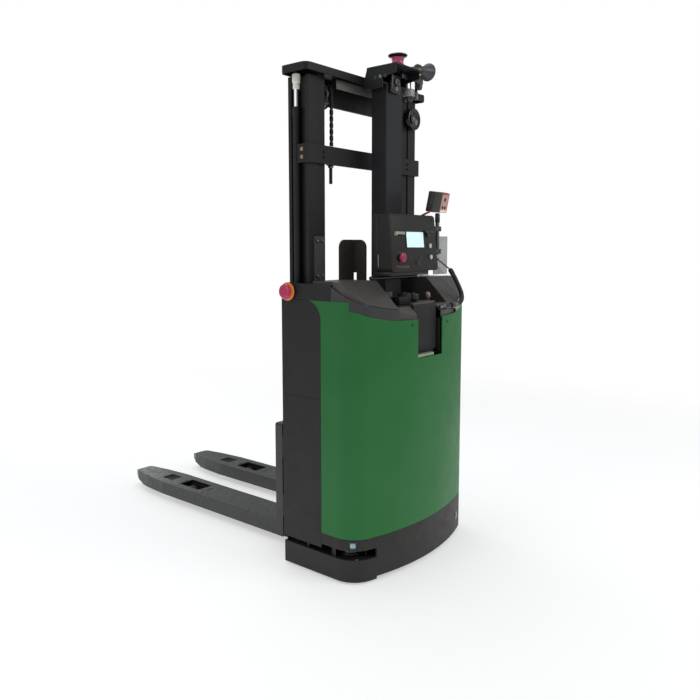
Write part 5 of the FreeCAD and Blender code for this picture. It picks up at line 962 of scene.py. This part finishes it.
def makeStops():
    s = stopSet
    panel = startPiece("panelStop")
    mushroom(panel, (s["panelX"], s["panelFace"], s["panelZ"]), rearward, s["radius"], s["tall"], 0.0090,
             0.019, "stopRed")
    setPiece(panel, "panel_stop", ["panel_stop"])
    collars = startPiece("stopCollars")
    # the panel stop's collar is black, painted shade where that collar lies in shadow
    add(collars, lathe([(0.0098, -0.002), (0.0235, -0.002), (0.0245, 0.0002), (0.0245, 0.0008),
                        (0.0225, 0.0014), (0.0135, 0.0014), (0.0098, 0.0006), (0.0098, -0.002)],
                       panelAt(s["panelX"], s["panelZ"], 0.0005), panelNormal(), sides=48), "sensorBlack")
    for side, word in ((-1, "left"), (1, "right")):
        toward = (side, 0, 0)
        add(collars, lathe([(0.0098, 0), (s["ring"], 0), (s["ring"], 0.0016), (s["ring"] - 0.0020, 0.0036),
                            (s["ring"] - 0.0060, 0.0039), (0.0200, 0.0039), (0.0098, 0.0034), (0.0098, 0)],
                           (side * s["ringFace"], s["sideY"], s["sideZ"]), toward, sides=64), "ringGlow")
        head = startPiece("sideStop" + word.capitalize())
        mushroom(head, (side * s["sideFace"], s["sideY"], s["sideZ"]), toward, s["sideRadius"], 0.0138,
                 0.0090, 0.038, "stopMagenta")
        setPiece(head, "side_stop_" + word, ["side_stop_" + word])
    setPiece(collars, "chassis", ["stop_collars"])


def makeButtons():
    b = buttonSet
    for word, z in b["heights"].items():
        piece = startPiece("button" + word)
        face = panelAt(b["x"], z).y
        add(piece, lathe([(0, -0.0085), (0.0098, -0.0085), (0.0099, 0.0050), (0.0093, 0.0066),
                          (0.0075, 0.0076), (0.0040, 0.0079), (0, 0.0080)], (b["x"], face, z), rearward),
            "buttonWhite")
        setPiece(piece, "button_" + word.lower(), ["button_" + word.lower()])
    key = startPiece("keySwitch")
    x, z = b["keyX"], b["keyZ"]
    face = panelAt(x, z).y
    add(key, lathe([(0, -0.013), (0.0108, -0.013), (0.0109, 0.0050), (0.0100, 0.0068), (0.0060, 0.0072),
                    (0, 0.0072)], (x, face, z), rearward), "keyBrown")
    # the key's bow, a blade across the barrel
    add(key, brick((x - 0.0015, face - 0.0088, z - 0.0085), (x + 0.0015, face - 0.0060, z + 0.0085), 0.0008),
        "darkSteel")
    setPiece(key, "key", ["key_switch"])


lampPostSet = {"x": 0.209, "y": -0.786, "radius": 0.009, "low": 1.296, "high": 1.478, "lampX": 0.195,
               "half": 0.0630, "deep": 0.017, "tall": 0.0875, "tilt": 12, "clamps": (1.300, 1.398),
               "ports": [(0.030, 0.058, 0.0080), (0.018, 0.023, 0.0070), (0.038, 0.023, 0.0072)]}
lampLeadSet = {"radius": 0.0047, "route": [(0.138, -0.795, 1.4860), (0.118, -0.799, 1.478),
                                           (0.102, -0.792, 1.472), (0.098, -0.775, 1.463)]}


def makeSignalLamp():
    s = lampPostSet
    x, half, y, deep, low = s["lampX"], s["half"], s["y"], s["deep"], s["high"]
    high = low + s["tall"]
    heel = Matrix.Translation((0, y - deep, low))
    tilt = heel @ Matrix.Rotation(math.radians(s["tilt"]), 4, "X") @ heel.inverted()
    lamp = startPiece("signalLamp")

    def leaned(shape, look):
        add(lamp, shape, look, tilt)

    leaned(brick((x - half, y - deep + 0.0030, low), (x + half, y + deep, high), 0.0050, 3), "lampBody")
    # blank black cover on the left half, red lens frame and rosy diffuser on the right
    leaned(brick((x - half, y - deep, low), (x + 0.003, y - deep + 0.008, high), 0.0030, 3), "lampBody")
    leaned(brick((x + 0.001, y - deep + 0.0012, low + 0.001), (x + half, y - deep + 0.008, high - 0.001),
                 0.0030, 3), "lampRed")
    leaned(brick((x + 0.003, y - deep + 0.0002, low + 0.003),
                 (x + half - 0.007, y - deep + 0.006, high - 0.008), 0.0024, 3), "lampRose")
    for across, up, size in s["ports"]:
        leaned(lathe([(0, 0), (size, 0), (size, 0.0010), (size * 0.7, 0.0022), (0, 0.0026)],
                     (x + across, y - deep + 0.0004, low + up), rearward, sides=28), "sensorBlack")
    leaned(brick((x + 0.006, y - deep - 0.0002, low + 0.003),
                 (x + half - 0.010, y - deep + 0.003, low + 0.013), 0.0018), "lampWarm")
    for side in (-1, 1):
        for up in (0.007, s["tall"] - 0.007):
            leaned(barrel((x + side * (half - 0.007), y + deep - 0.001, low + up),
                          (x + side * (half - 0.007), y + deep + 0.0012, low + up), 0.003, sides=16,
                          soft=0.0005), "bareSteel")
    setPiece(lamp, "chassis", ["signal_lamp"])

    post = startPiece("lampPost")
    add(post, lathe([(0, 0), (s["radius"] - 0.001, 0), (s["radius"], 0.001), (s["radius"], 0.146),
                     (s["radius"] - 0.0010, 0.148), (0, 0.148)], (s["x"], y, s["low"]), sides=36),
        "postGreen")
    add(post, lathe([(s["radius"] - 0.002, 0.140), (s["radius"] + 0.0012, 0.141),
                     (s["radius"] + 0.0018, 0.144), (s["radius"] + 0.0018, 0.176), (s["radius"], 0.181),
                     (0, 0.181)], (s["x"], y, s["low"]), sides=32), "sensorBlack")
    for z in s["clamps"]:
        add(post, brick((0.1722, y - 0.0118, z), (0.2255, y + 0.0118, z + 0.0215), 0.0022), "lampBody")
        capScrew(post, (0.190, y - 0.0118, z + 0.011), rearward, 0.0036, "bareSteel")
        capScrew(post, (0.218, y - 0.0118, z + 0.011), rearward, 0.0030, "bareSteel")
    setPiece(post, "chassis", ["lamp_post"])


def makeLampLead():
    # short red lead from the lamp's foot down to the control box
    s = lampLeadSet
    holder = bpy.data.objects.new("lampLead", softTube("lampLead", s["route"], s["radius"], 4))
    mesh = bpy.data.meshes.new_from_object(holder)
    bpy.data.objects.remove(holder)
    mesh.materials.clear()
    mesh.materials.append(paint("redLead"))
    for face in mesh.polygons:
        face.use_smooth = True
    obj = bpy.data.objects.new("lampLead", mesh)
    bpy.context.scene.collection.objects.link(obj)
    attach(obj, "chassis")


shieldSet = {"left": 0.200, "right": 0.316, "rear": -0.7752, "front": -0.7712, "low": 1.208, "high": 1.377,
             "screwX": 0.213, "screws": (1.240, 1.345), "spacers": (1.291, 1.389), "spacerEnd": -0.7675}


def makeShield():
    s = shieldSet
    piece = startPiece("clearShield")
    add(piece, brick((s["left"], s["rear"], s["low"]), (s["right"], s["front"], s["high"]), 0.0010, 2),
        "clearPlate")
    for z in s["screws"]:
        capScrew(piece, (s["screwX"], s["rear"], z), rearward, 0.0045, "bareSteel")
    for z in s["spacers"]:
        add(piece, barrel((s["screwX"], s["front"] - 0.0005, z), (s["screwX"], s["spacerEnd"], z), 0.0055,
                          sides=20, soft=0.0006), "sensorGrey")
    setPiece(piece, "chassis", ["side_shield"])


grabSet = {"half": 0.2148, "y": -0.735, "z": 1.2043, "radius": 0.0079, "shadedLength": 0.118}


def makeGrabBar():
    s = grabSet
    piece = startPiece("grabBar")
    r, long, shadedLength = s["radius"], 2 * s["half"], s["half"] + s["shadedLength"]
    add(piece, lathe([(0, 0), (r * 0.62, 0.0005), (r * 0.92, 0.0025), (r, 0.0060), (r, long - 0.0060),
                      (r * 0.92, long - 0.0025), (r * 0.62, long - 0.0005), (0, long)],
                     (-s["half"], s["y"], s["z"]), outward, sides=36), "chrome")
    # black cover from the left end past the middle, painted shade where the bar lies in the dark
    add(piece, lathe([(0, 0), (r * 0.9, 0.0002), (r + 0.0002, 0.0030), (r + 0.0002, shadedLength - 0.0008),
                      (r * 0.9, shadedLength), (0, shadedLength)], (-s["half"] - 0.0001, s["y"], s["z"]), outward,
                     sides=36), "sensorBlack")
    setPiece(piece, "chassis", ["grab_bar"])


slotSet = {"left": -0.0925, "right": 0.0780, "step": 0.0560, "stepZ": 0.9010, "face": -0.865, "low": 0.8790,
           "top": 1.1035, "bend": 0.016, "sheet": 0.005, "front": -0.8405, "edge": 0.0925, "inner": 0.0885,
           "sill": [(-0.0905, -0.8855, 0.8795), (0.030, -0.8870, 0.8795), (0.036, -0.8655, 0.8800),
                    (-0.0905, -0.8655, 0.8800)], "sillTall": 0.0120,
           "screws": [(-0.070, 1.070), (0.040, 1.070), (-0.070, 0.900)]}


def makeSlotCover():
    s = slotSet
    piece = startPiece("tillerSlotCover")
    face, left, right, low, top = s["face"], s["left"], s["right"], s["low"], s["top"]
    bend, sheet = s["bend"], s["sheet"]
    outline = [(left, face, low), (s["step"], face, low), (s["step"], face, s["stepZ"]),
               (right, face, s["stepZ"]), (right, face, top - bend), (left, face, top - bend)]
    add(piece, prism(outline, (0, sheet, 0), 0.0012), "charcoalPaint")
    # bent top: a leaning strip and a flat one that laps the hood
    add(piece, prism([(left, face, top - bend), (left, face + sheet, top - bend - 0.002),
                      (left, face + bend, top - sheet), (left, face + bend, top)],
                     (right - left, 0, 0), 0.0008), "charcoalPaint")
    add(piece, brick((left, face + bend - 0.001, top - sheet), (s["edge"], s["front"], top), 0.0012),
        "hoodPlastic")
    add(piece, barrel((left + 0.006, face + bend - 0.004, top - 0.006),
                      (right - 0.004, face + bend - 0.004, top - 0.006), 0.0052, sides=20, soft=0.001),
        "hoodPlastic")
    # dark sheets beside and under the plate, painted shade of the deep recess
    add(piece, brick((left, face + 0.012, low + 0.001), (s["edge"], face + 0.016, top - 0.010), 0.0008),
        "slotPaintedShade")
    add(piece, brick((s["inner"], face - 0.012, low + 0.001), (s["edge"] - 0.0003, face + 0.013, 1.030),
                     0.0006), "slotPaintedShade")
    add(piece, brick((right, face + 0.0005, low + 0.001), (s["inner"], face + 0.012, low + 0.006), 0.0008),
        "slotPaintedShade")
    add(piece, prism(s["sill"], (0, 0, s["sillTall"]), 0.0008), "paleLedge")
    for x, z in s["screws"]:
        capScrew(piece, (x, face, z), rearward, 0.0036, "charcoalPaint")
    setPiece(piece, "chassis", ["tiller_slot_cover"])


coverScrewSet = {"spots": [(-0.130, 1.0185), (0.1426, 1.0102)], "size": 0.0062}
coverArc = 1.073         # radius of the covers' rear arc in plan


def coverPoint(x):
    # Y and the outward direction on the covers' rear arc, at a place across
    centreY = rearY + coverArc
    y = centreY - math.sqrt(coverArc ** 2 - x ** 2)
    return y, Vector((x, y - centreY, 0)).normalized()


def makeCoverScrews():
    piece = startPiece("coverScrews")
    size = coverScrewSet["size"]
    for x, z in coverScrewSet["spots"]:
        y, out = coverPoint(x)
        at = Vector((x, y, z))
        add(piece, lathe([(0, -0.0012), (size * 1.30, -0.0012), (size * 1.30, 0.0003), (size * 1.1, 0.0006),
                          (size, 0.0001), (size, -0.0006), (0, -0.0006)], at, out, sides=28), "screwGreen")
        capScrew(piece, at - out * 0.0008, out, size * 0.80, "screwGreen")
    setPiece(piece, "chassis")


skirtEyeSet = {"x": 0.2950, "z": 0.091, "half": 0.0155}


def makeSkirtEye():
    s = skirtEyeSet
    piece = startPiece("skirtSensor")
    y, out = coverPoint(s["x"])
    at = Vector((s["x"], y, s["z"]))
    across = out.cross(Vector(upward)).normalized()

    def tile(half, low, high, look, soft):
        corners = [at + across * sx * half + Vector((0, 0, sz * half)) + out * low
                   for sx, sz in ((-1, -1), (1, -1), (1, 1), (-1, 1))]
        add(piece, prism(corners, out * (high - low), soft), look)

    tile(s["half"] + 0.004, -0.004, 0.0012, "skirtRim", 0.0010)
    tile(s["half"], -0.003, 0.0020, "sensorBlack", 0.0012)
    add(piece, lathe([(0, 0), (0.0062, 0), (0.0062, 0.0012), (0.0050, 0.0022), (0, 0.0026)],
                     at + out * 0.0018, out, sides=28), "lensBlack")
    setPiece(piece, "chassis")


cornerLightSet = {"x": 0.3930, "y": -0.7861, "low": 0.145, "radius": 0.0175, "tall": 0.0265,
                  "ribs": 5, "ribStep": 0.0026}


def makeCornerLights():
    s = cornerLightSet
    piece = startPiece("cornerLights")
    for side in (-1, 1):
        at = (side * s["x"], s["y"], s["low"] + 0.0002)
        r, tall = s["radius"], s["tall"]
        add(piece, lathe([(0, 0), (r, 0), (r, 0.0050), (r - 0.0015, 0.0062), (0, 0.0062)], at, sides=40),
            "sensorBlack")
        ribs = [(0, 0.0055), (r - 0.0018, 0.0055)]
        for rise in (number * s["ribStep"] for number in range(s["ribs"])):
            ribs += [(r - 0.0018, 0.0066 + rise), (r - 0.0026, 0.0080 + rise)]
        ribs += [(r - 0.0030, tall - 0.0062), (r - 0.0055, tall - 0.0026), (r - 0.0095, tall - 0.0006),
                 (0, tall)]
        add(piece, lathe(ribs, at, sides=40), "lightLens")
    setPiece(piece, "chassis", ["corner_lights"])


scannerSet = {"x": -0.352, "y": -0.741, "low": 0.1005, "radius": 0.0395}
shadeTraySet = {"x": -0.348, "y": -0.733, "wall": 0.072, "wallLow": 0.100, "sweep": 250, "turned": -80,
           "low": 0.0965, "plan": [(-0.413, -0.450), (-0.413, -0.735), (-0.402, -0.762), (-0.386, -0.784),
                                   (-0.355, -0.816), (-0.252, -0.848), (-0.252, -0.450)]}


def makeCornerScanner():
    s = scannerSet
    piece = startPiece("cornerScanner")
    at, r = (s["x"], s["y"], s["low"]), s["radius"]
    add(piece, lathe([(0, 0), (r - 0.002, 0), (r, 0.002), (r, 0.0120), (r - 0.0010, 0.0135),
                      (r - 0.0050, 0.0145), (0, 0.0145)], at, sides=56), "sensorBlack")
    add(piece, lathe([(0, 0.0140), (r - 0.0060, 0.0140), (r - 0.0075, 0.0200), (r - 0.0085, 0.0300),
                      (r - 0.0075, 0.0400), (r - 0.0060, 0.0440), (0, 0.0440)], at, sides=56), "lensBlack")
    add(piece, lathe([(0, 0.0435), (r - 0.0040, 0.0435), (r - 0.0005, 0.0455), (r, 0.0480), (r, 0.0660),
                      (r - 0.0030, 0.0705), (r - 0.0100, 0.0728), (0, 0.0730)], at, sides=56), "sensorBlack")
    for turn in range(3):
        angle = math.radians(200 + 60 * turn)
        spot = Vector(at) + Vector((math.cos(angle) * (r - 0.010), math.sin(angle) * (r - 0.010), 0.0722))
        capScrew(piece, spot, upward, 0.0024, "bareSteel")
    setPiece(piece, "chassis", ["corner_scanner"])


def makeScannerShade():
    # dark tray and back wall, painted shade that closes the slot behind the corner scanner
    s = shadeTraySet
    shadeSheets, wall = startPiece("scannerShadeSheets"), bmesh.new()
    low, high = wall.verts.new((s["wall"], 0, 0)), wall.verts.new((s["wall"], 0, s["wall"]))
    edge = wall.edges.new((low, high))
    bmesh.ops.spin(wall, geom=[low, high, edge], cent=(0, 0, 0), axis=upward,
                   angle=math.radians(s["sweep"]), steps=36, use_merge=False)
    bmesh.ops.solidify(wall, geom=wall.faces[:] + wall.edges[:], thickness=0.002)
    bmesh.ops.transform(wall, matrix=Matrix.Translation((s["x"], s["y"], s["wallLow"]))
                        @ Matrix.Rotation(math.radians(s["turned"]), 4, "Z"), verts=wall.verts)
    add(shadeSheets, wall, "slotPaintedShade")
    add(shadeSheets, barrel((s["x"], s["y"], s["wallLow"] - 0.0025), (s["x"], s["y"], s["wallLow"] + 0.0002),
                     s["wall"] + 0.001, sides=48, soft=0.0006), "slotPaintedShade")
    add(shadeSheets, prism([(x, y, s["low"]) for x, y in s["plan"]], (0, 0, 0.003)), "slotPaintedShade")
    add(shadeSheets, brick((-0.2535, -0.848, 0.024), (-0.2505, -0.450, 0.182)), "slotPaintedShade")
    add(shadeSheets, brick((-0.413, -0.4530, 0.024), (-0.252, -0.4500, 0.120)), "slotPaintedShade")
    setPiece(shadeSheets, "chassis")


valleySet = {"floor": 1.091,
             "boxes": [(-0.178, -0.112, -0.775, -0.706, 0.060, 0.005, "sensorBlack"),
                       (-0.100, -0.030, -0.800, -0.740, 0.034, 0.004, "boxPaint")],
             "cans": [(-0.020, -0.768, 0.046, 0.030, 48, "boxPaint"),
                      (0.046, -0.770, 0.040, 0.026, 40, "sensorBlack")],
             "ledge": (0.020, 0.120, -0.812, -0.794, 0.012, 0.003, "hoodPlastic"),
             "leverFoot": (0.118, -0.802, 1.097), "leverTip": (0.094, -0.812, 1.137),
             "lever": [(0, 0), (0.0085, 0.0006), (0.0100, 0.0030), (0.0100, 0.0190), (0.0082, 0.0240),
                       (0, 0.0262)],
             "breather": [(0, 0), (0.0150, 0), (0.0150, 0.0012), (0.0125, 0.0026), (0.0060, 0.0032),
                          (0, 0.0032)],
             "lug": [(0, 0), (0.0075, 0.0005), (0.0090, 0.0030), (0.0090, 0.0120), (0.0070, 0.0160),
                     (0, 0.0170)],
             "lugs": [(0.124, -0.866, 1.0770), (0.103, -0.866, 1.0740)]}


def makeValleyParts():
    # relay box, motor cans and lever that sit between the two humps
    s = valleySet
    piece, floor = startPiece("valleyParts"), s["floor"]

    def box(left, right, rear, front, tall, soft, look):
        add(piece, brick((left, rear, floor), (right, front, floor + tall), soft, 3), look)

    for settings in s["boxes"]:
        box(*settings)
    for x, y, tall, radius, sides, look in s["cans"]:
        add(piece, barrel((x, y, floor), (x, y, floor + tall), radius, sides=sides, soft=0.003), look)
    box(*s["ledge"])
    for x, y, tall, *_ in s["cans"]:
        capScrew(piece, (x, y, floor + tall), upward, 0.005, "bareSteel")
    base, tip = Vector(s["leverFoot"]), Vector(s["leverTip"])
    way = (tip - base).normalized()
    add(piece, barrel(base, base + way * 0.026, 0.0050, sides=20, soft=0.0008), "bareSteel")
    add(piece, lathe(s["lever"], base + way * 0.020, way, sides=28), "leverRose")
    # small breather cap on the right hump
    add(piece, lathe(s["breather"], (0.262, -0.702, 1.1960), sides=32), "sensorBlack")
    # two polished lugs beside the conduit's union
    for spot in s["lugs"]:
        add(piece, lathe(s["lug"], spot, (0, -1, 0.15), sides=24), "bareSteel")
    # the conduit's sleeve runs on in front of the slot
    add(piece, barrel((0.2090, -0.874, 1.076), (0.1360, -0.871, 1.075), 0.0098, sides=28, soft=0.0012),
        "sensorBlack")
    setPiece(piece, "chassis")


mastBoltSet = {"cheekX": 0.395, "cheeks": (1.716, 1.686), "tieX": 0.300, "tie": (1.690, 1.712),
               "stayX": (0.309, 0.340), "stays": (1.215, 1.356), "rearY": -0.565, "chainX": 0.230,
               "chainY": -0.5418, "footX": 0.350, "feet": (0.140, 0.166), "pinX": 0.2485,
               "crossTop": 2.0352, "cross": [(0.300, -0.486), (0.340, -0.470), (0.384, -0.495)],
               "guideX": 0.268, "guideY": -0.549, "guides": (1.930, 1.972),
               "web": ((-0.205, -0.5535, 1.974), (0.150, -0.5505, 2.0108))}


def makeMastFastenings():
    s = mastBoltSet
    fixed = startPiece("mastFastenings")
    for side in (-1, 1):
        # pairs of bolts through the tie's cheeks, and nuts along the stays and the lower tie
        for z in s["cheeks"]:
            hexBolt(fixed, (side * s["cheekX"], -0.532, z), (side, 0, 0), 0.0095, "brassBolt")
        for z in s["tie"]:
            hexBolt(fixed, (side * s["tieX"], s["rearY"], z), rearward, 0.0085, "mastPaint")
        for x in s["stayX"]:
            for z in s["stays"]:
                hexBolt(fixed, (side * x, s["rearY"], z), rearward, 0.0080, "bareSteel")
        # the chain anchor's bolt and its two nuts
        x, y = side * s["chainX"], s["chainY"]
        hexBolt(fixed, (x, y, 1.5990), (0, 0, -1), 0.0100, "bareSteel", washer=False)
        add(fixed, barrel((x, y, 1.6550), (x, y, 1.6636), 0.0120, sides=6, soft=0.0012), "bareSteel")
        add(fixed, barrel((x, y, 1.7375), (x, y, 1.7420), 0.0125, sides=6, soft=0.0010), "creamFitting")
        for z in s["feet"]:
            hexBolt(fixed, (side * s["footX"], s["rearY"], z), rearward, 0.0090, "mastPaint")
    setPiece(fixed, "chassis")
    rising = startPiece("crossheadFastenings")
    add(rising, brick(*s["web"], 0.0012), "webPaint")
    for side in (-1, 1):
        for x, y in s["cross"]:
            capScrew(rising, (side * x, y, s["crossTop"]), upward, 0.0070, "mastPaint")
        hexBolt(rising, (side * s["pinX"], -0.486, 1.950), (side, 0, 0), 0.0120, "bareSteel")
        for z in s["guides"]:
            hexBolt(rising, (side * s["guideX"], s["guideY"], z), rearward, 0.0080, "mastPaint")
    setPiece(rising, "inner_mast")


rollerSet = {"x": 0.203, "half": 0.0298, "radius": 0.0379, "z": 0.038, "axle": 0.0102,
             "rows": {"rear": 0.373, "front": 0.455}}


def makeLoadRollers():
    s = rollerSet
    long, r = 2 * s["half"], s["radius"]
    tread = mirrored([(0.0235, 0.0012), (r - 0.006, 0.0012), (r - 0.0020, 0.0030), (r, 0.0070)], long)
    core = mirrored([(s["axle"], 0), (0.0145, 0), (0.0150, 0.0020), (0.0215, 0.0024), (0.0238, 0.0006)],
                    long)
    for side, word in ((-1, "left"), (1, "right")):
        for row, y in s["rows"].items():
            piece = startPiece("loadRoller" + word.capitalize() + row.capitalize())
            at = (side * s["x"] - s["half"], y, s["z"])
            add(piece, lathe(tread, at, outward, sides=56), "rollerTread")
            add(piece, lathe(core, at, outward), "bareSteel")
            setPiece(piece, "roller_" + word + "_" + row, ["load_roller_" + word + "_" + row])


forkLugSet = {"padX": 0.203, "pad": 0.020, "padLong": 0.012, "padLow": 0.0922, "pads": (0.300, 0.500),
              "lugX": 0.262, "lug": 0.0085, "lugLong": 0.026, "lugLow": 0.0915, "lugs": (0.2895, 0.4795),
              "top": 0.0945}


def makeForkDetails():
    # wear pads and small lugs at the blade's outer edge, by each opening
    s = forkLugSet
    piece = startPiece("forkLugs")
    for side in (-1, 1):
        x = side * s["padX"]
        for y in s["pads"]:
            add(piece, brick((x - s["pad"], y, s["padLow"]), (x + s["pad"], y + s["padLong"], s["top"]),
                             0.0010), "forkPaint")
        x = side * s["lugX"]
        for y in s["lugs"]:
            add(piece, brick((x - s["lug"], y, s["lugLow"]), (x + s["lug"], y + s["lugLong"], s["top"]),
                             0.0012), "lugSteel")
    setPiece(piece, "carriage")


driveWheelSet = {"x": -0.120, "y": -0.719, "radius": 0.1148, "half": 0.0373, "hub": 0.0152}
casterWheelSet = {"x": 0.215, "y": -0.741, "radius": 0.0748, "half": 0.0247, "hub": 0.0152}


def wheelBody(piece, s, tread, core):
    at, long, r = (s["x"] - s["half"], s["y"], s["radius"] + 0.0002), 2 * s["half"], s["radius"]
    rim = r * 0.78
    add(piece, lathe(mirrored([(rim, 0.0015), (r - 0.012, 0.0015), (r - 0.0045, 0.0045),
                               (r - 0.0010, 0.0110), (r, long * 0.32)], long), at, outward, sides=72),
        tread)
    add(piece, lathe(mirrored([(s["hub"], 0), (r * 0.30, 0), (r * 0.33, 0.0020), (r * 0.36, long * 0.22),
                               (r * 0.66, long * 0.25), (r * 0.71, 0.0030), (rim, 0.0008)], long), at,
                     outward, sides=56), core)


def makeWheels():
    s = driveWheelSet
    drive = startPiece("driveWheel")
    wheelBody(drive, s, "polyurethane", "castIron")
    for side in (-1, 1):
        for number in range(6):
            turn = math.tau * number / 6
            spot = Vector((s["x"] + side * s["half"] * 0.51, s["y"] + math.cos(turn) * 0.058,
                           s["radius"] + math.sin(turn) * 0.058))
            hexBolt(drive, spot, (side, 0, 0), 0.0090, "bareSteel")
    setPiece(drive, "drive_wheel", ["drive_wheel"])
    caster = startPiece("casterWheel")
    wheelBody(caster, casterWheelSet, "tyreRubber", "sensorGrey")
    setPiece(caster, "caster_wheel", ["caster_wheel"])


motorSet = {"x": -0.120, "y": -0.719, "low": 0.290, "high": 0.4312, "radius": 0.0702, "fins": 11}


def makeDriveDetails():
    s = motorSet
    piece = startPiece("driveMotorFins")
    step = (s["high"] - s["low"] - 0.022) / s["fins"]
    for number in range(s["fins"]):
        at = (s["x"], s["y"], s["low"] + step * number)
        add(piece, lathe([(s["radius"] - 0.001, 0), (s["radius"] + 0.0050, 0.0008),
                          (s["radius"] + 0.0054, 0.0020), (s["radius"] + 0.0050, 0.0032),
                          (s["radius"] - 0.001, 0.0040), (s["radius"] - 0.001, 0)], at, sides=56),
            "castIron")
    for number in range(4):
        turn = math.pi / 4 + math.pi / 2 * number
        capScrew(piece, (s["x"] + math.cos(turn) * 0.055, s["y"] + math.sin(turn) * 0.055, s["high"]),
                 upward, 0.006, "bareSteel")
    for number in range(3):
        spot = Vector((s["x"] - 0.030 + 0.030 * number, s["y"] - 0.020, s["high"]))
        add(piece, lathe([(0, 0), (0.0065, 0), (0.0065, 0.0015), (0.0040, 0.0020), (0.0040, 0.0080),
                          (0.0030, 0.0090), (0, 0.0090)], spot, sides=20), "brassBolt")
    setPiece(piece, "steering")


packSet = {"left": -0.250, "right": 0.250, "rear": -0.7907, "front": -0.581, "top": 0.890}


def makeBatteryDetails():
    s = packSet
    piece = startPiece("batteryFittings")
    for x in (-0.180, 0.180):
        add(piece, brick((x - 0.040, -0.700, s["top"] - 0.0004), (x + 0.040, -0.672, s["top"] + 0.0080),
                         0.003, 3), "sensorBlack")
    for x, look in ((-0.070, "stopRed"), (0.070, "cableRubber")):
        add(piece, lathe([(0, 0), (0.016, 0), (0.016, 0.006), (0.0125, 0.009), (0.0125, 0.022),
                          (0.010, 0.026), (0, 0.026)], (x, -0.640, s["top"] - 0.0004), sides=28), look)
    for z in (0.520, 0.620, 0.720, 0.820):
        for rear in (s["rear"] - 0.0022, s["front"] - 0.0008):
            add(piece, brick((s["left"] + 0.012, rear, z - 0.004),
                             (s["right"] - 0.012, rear + 0.003, z + 0.004), 0.0010), "batteryCase")
    for x in (-0.235, 0.235):
        for z in (0.470, 0.870):
            capScrew(piece, (x, s["front"], z), (0, 1, 0), 0.006, "bareSteel")
    setPiece(piece, "chassis")


pumpSet = {"boltX": (0.120, 0.175, 0.230), "boltY": -0.706, "boltZ": 0.4362, "cap": (0.262, -0.680, 0.3495)}


def makePumpDetails():
    s = pumpSet
    piece = startPiece("pumpFittings")
    for x in s["boltX"]:
        hexBolt(piece, (x, s["boltY"], s["boltZ"]), upward, 0.0085, "bareSteel")
    add(piece, lathe([(0, 0), (0.020, 0), (0.022, 0.003), (0.022, 0.012), (0.019, 0.015), (0, 0.016)],
                     s["cap"], sides=32), "sensorBlack")
    setPiece(piece, "chassis")


nodeFinishes = {
    "greenPaint": ["rear_cover"],
    "skirtPaint": ["rear_skirt", "side_skirts"],
    "charcoalPaint": ["side_panels", "tiller_slot_cover"],
    "bandPaint": ["shoulder_bands"],
    "hoodPlastic": ["top_cover"],
    "glossStrip": ["status_strips"],
    "mastPaint": ["base_frame", "straddle_legs", "carriage", "outer_uprights", "inner_uprights",
                  "outer_ties", "cylinder_tubes", "mast_crosshead", "inner_cross"],
    "forkPaint": ["fork_left", "fork_right"],
    "chrome": ["cylinder_rods", "grab_bar"],
    "darkSteel": ["chain_sheaves", "chain_wraps", "chain_rear", "chain_front"],
    "stayPaint": ["mast_stays"],
    "sensorBlack": ["work_lamp", "lidar_window", "lidar_rotor", "lidar_cap", "rear_camera",
                    "corner_scanner"],
    "postPaint": ["sensor_post"],
    "headPaint": ["head_bracket"],
    "hornGrey": ["horn"],
    "sensorGrey": ["nav_sensor", "side_shield", "corner_lights"],
    "boxPaint": ["control_box"],
    "buttonWhite": ["display_screen", "button_high", "button_low"],
    "stopRed": ["panel_stop"],
    "bareSteel": ["key_switch", "lamp_post", "caster_fork"],
    "stopMagenta": ["side_stop_left", "side_stop_right"],
    "stopYellow": ["stop_collars"],
    "lampBody": ["signal_lamp"],
    "cableRubber": ["box_cable"],
    "castIron": ["drive_unit", "hydraulic_unit"],
    "polyurethane": ["drive_wheel", "load_roller_left_rear", "load_roller_left_front",
                     "load_roller_right_rear", "load_roller_right_front"],
    "tyreRubber": ["caster_wheel"],
    "batteryCase": ["battery"],
}

makeCamera()
makeCords()
makeLamps()
makeWorld()
makeFloor()
for finishName, nodeNames in nodeFinishes.items():
    for nodeName in nodeNames:
        nodes[nodeName].data.materials.clear()
        nodes[nodeName].data.materials.append(paint(finishName))
print("camera, cords, lamps and finishes are set")

for makePieces in (makeRams, makeChains, makeSheaves, makeMastFastenings):
    makePieces()
print("the mast is fitted")
for makePieces in (makeHeadDetails, makeLidar, makeHorn, makeRearCamera, makeNavSensor, makeWorkLamp):
    makePieces()
print("the head is fitted")
for makePieces in (makePanelDetails, makeStops, makeButtons, makeSignalLamp, makeLampLead, makeShield,
                   makeGrabBar):
    makePieces()
print("the controls are fitted")
for makePieces in (makeSlotCover, makeCoverScrews, makeSkirtEye, makeCornerLights, makeCornerScanner,
                   makeScannerShade, makeValleyParts, makeLoadRollers, makeForkDetails):
    makePieces()
print("the covers and forks are fitted")
for makePieces in (makeWheels, makeDriveDetails, makeBatteryDetails, makePumpDetails):
    makePieces()
print("the drive and the units inside are fitted")
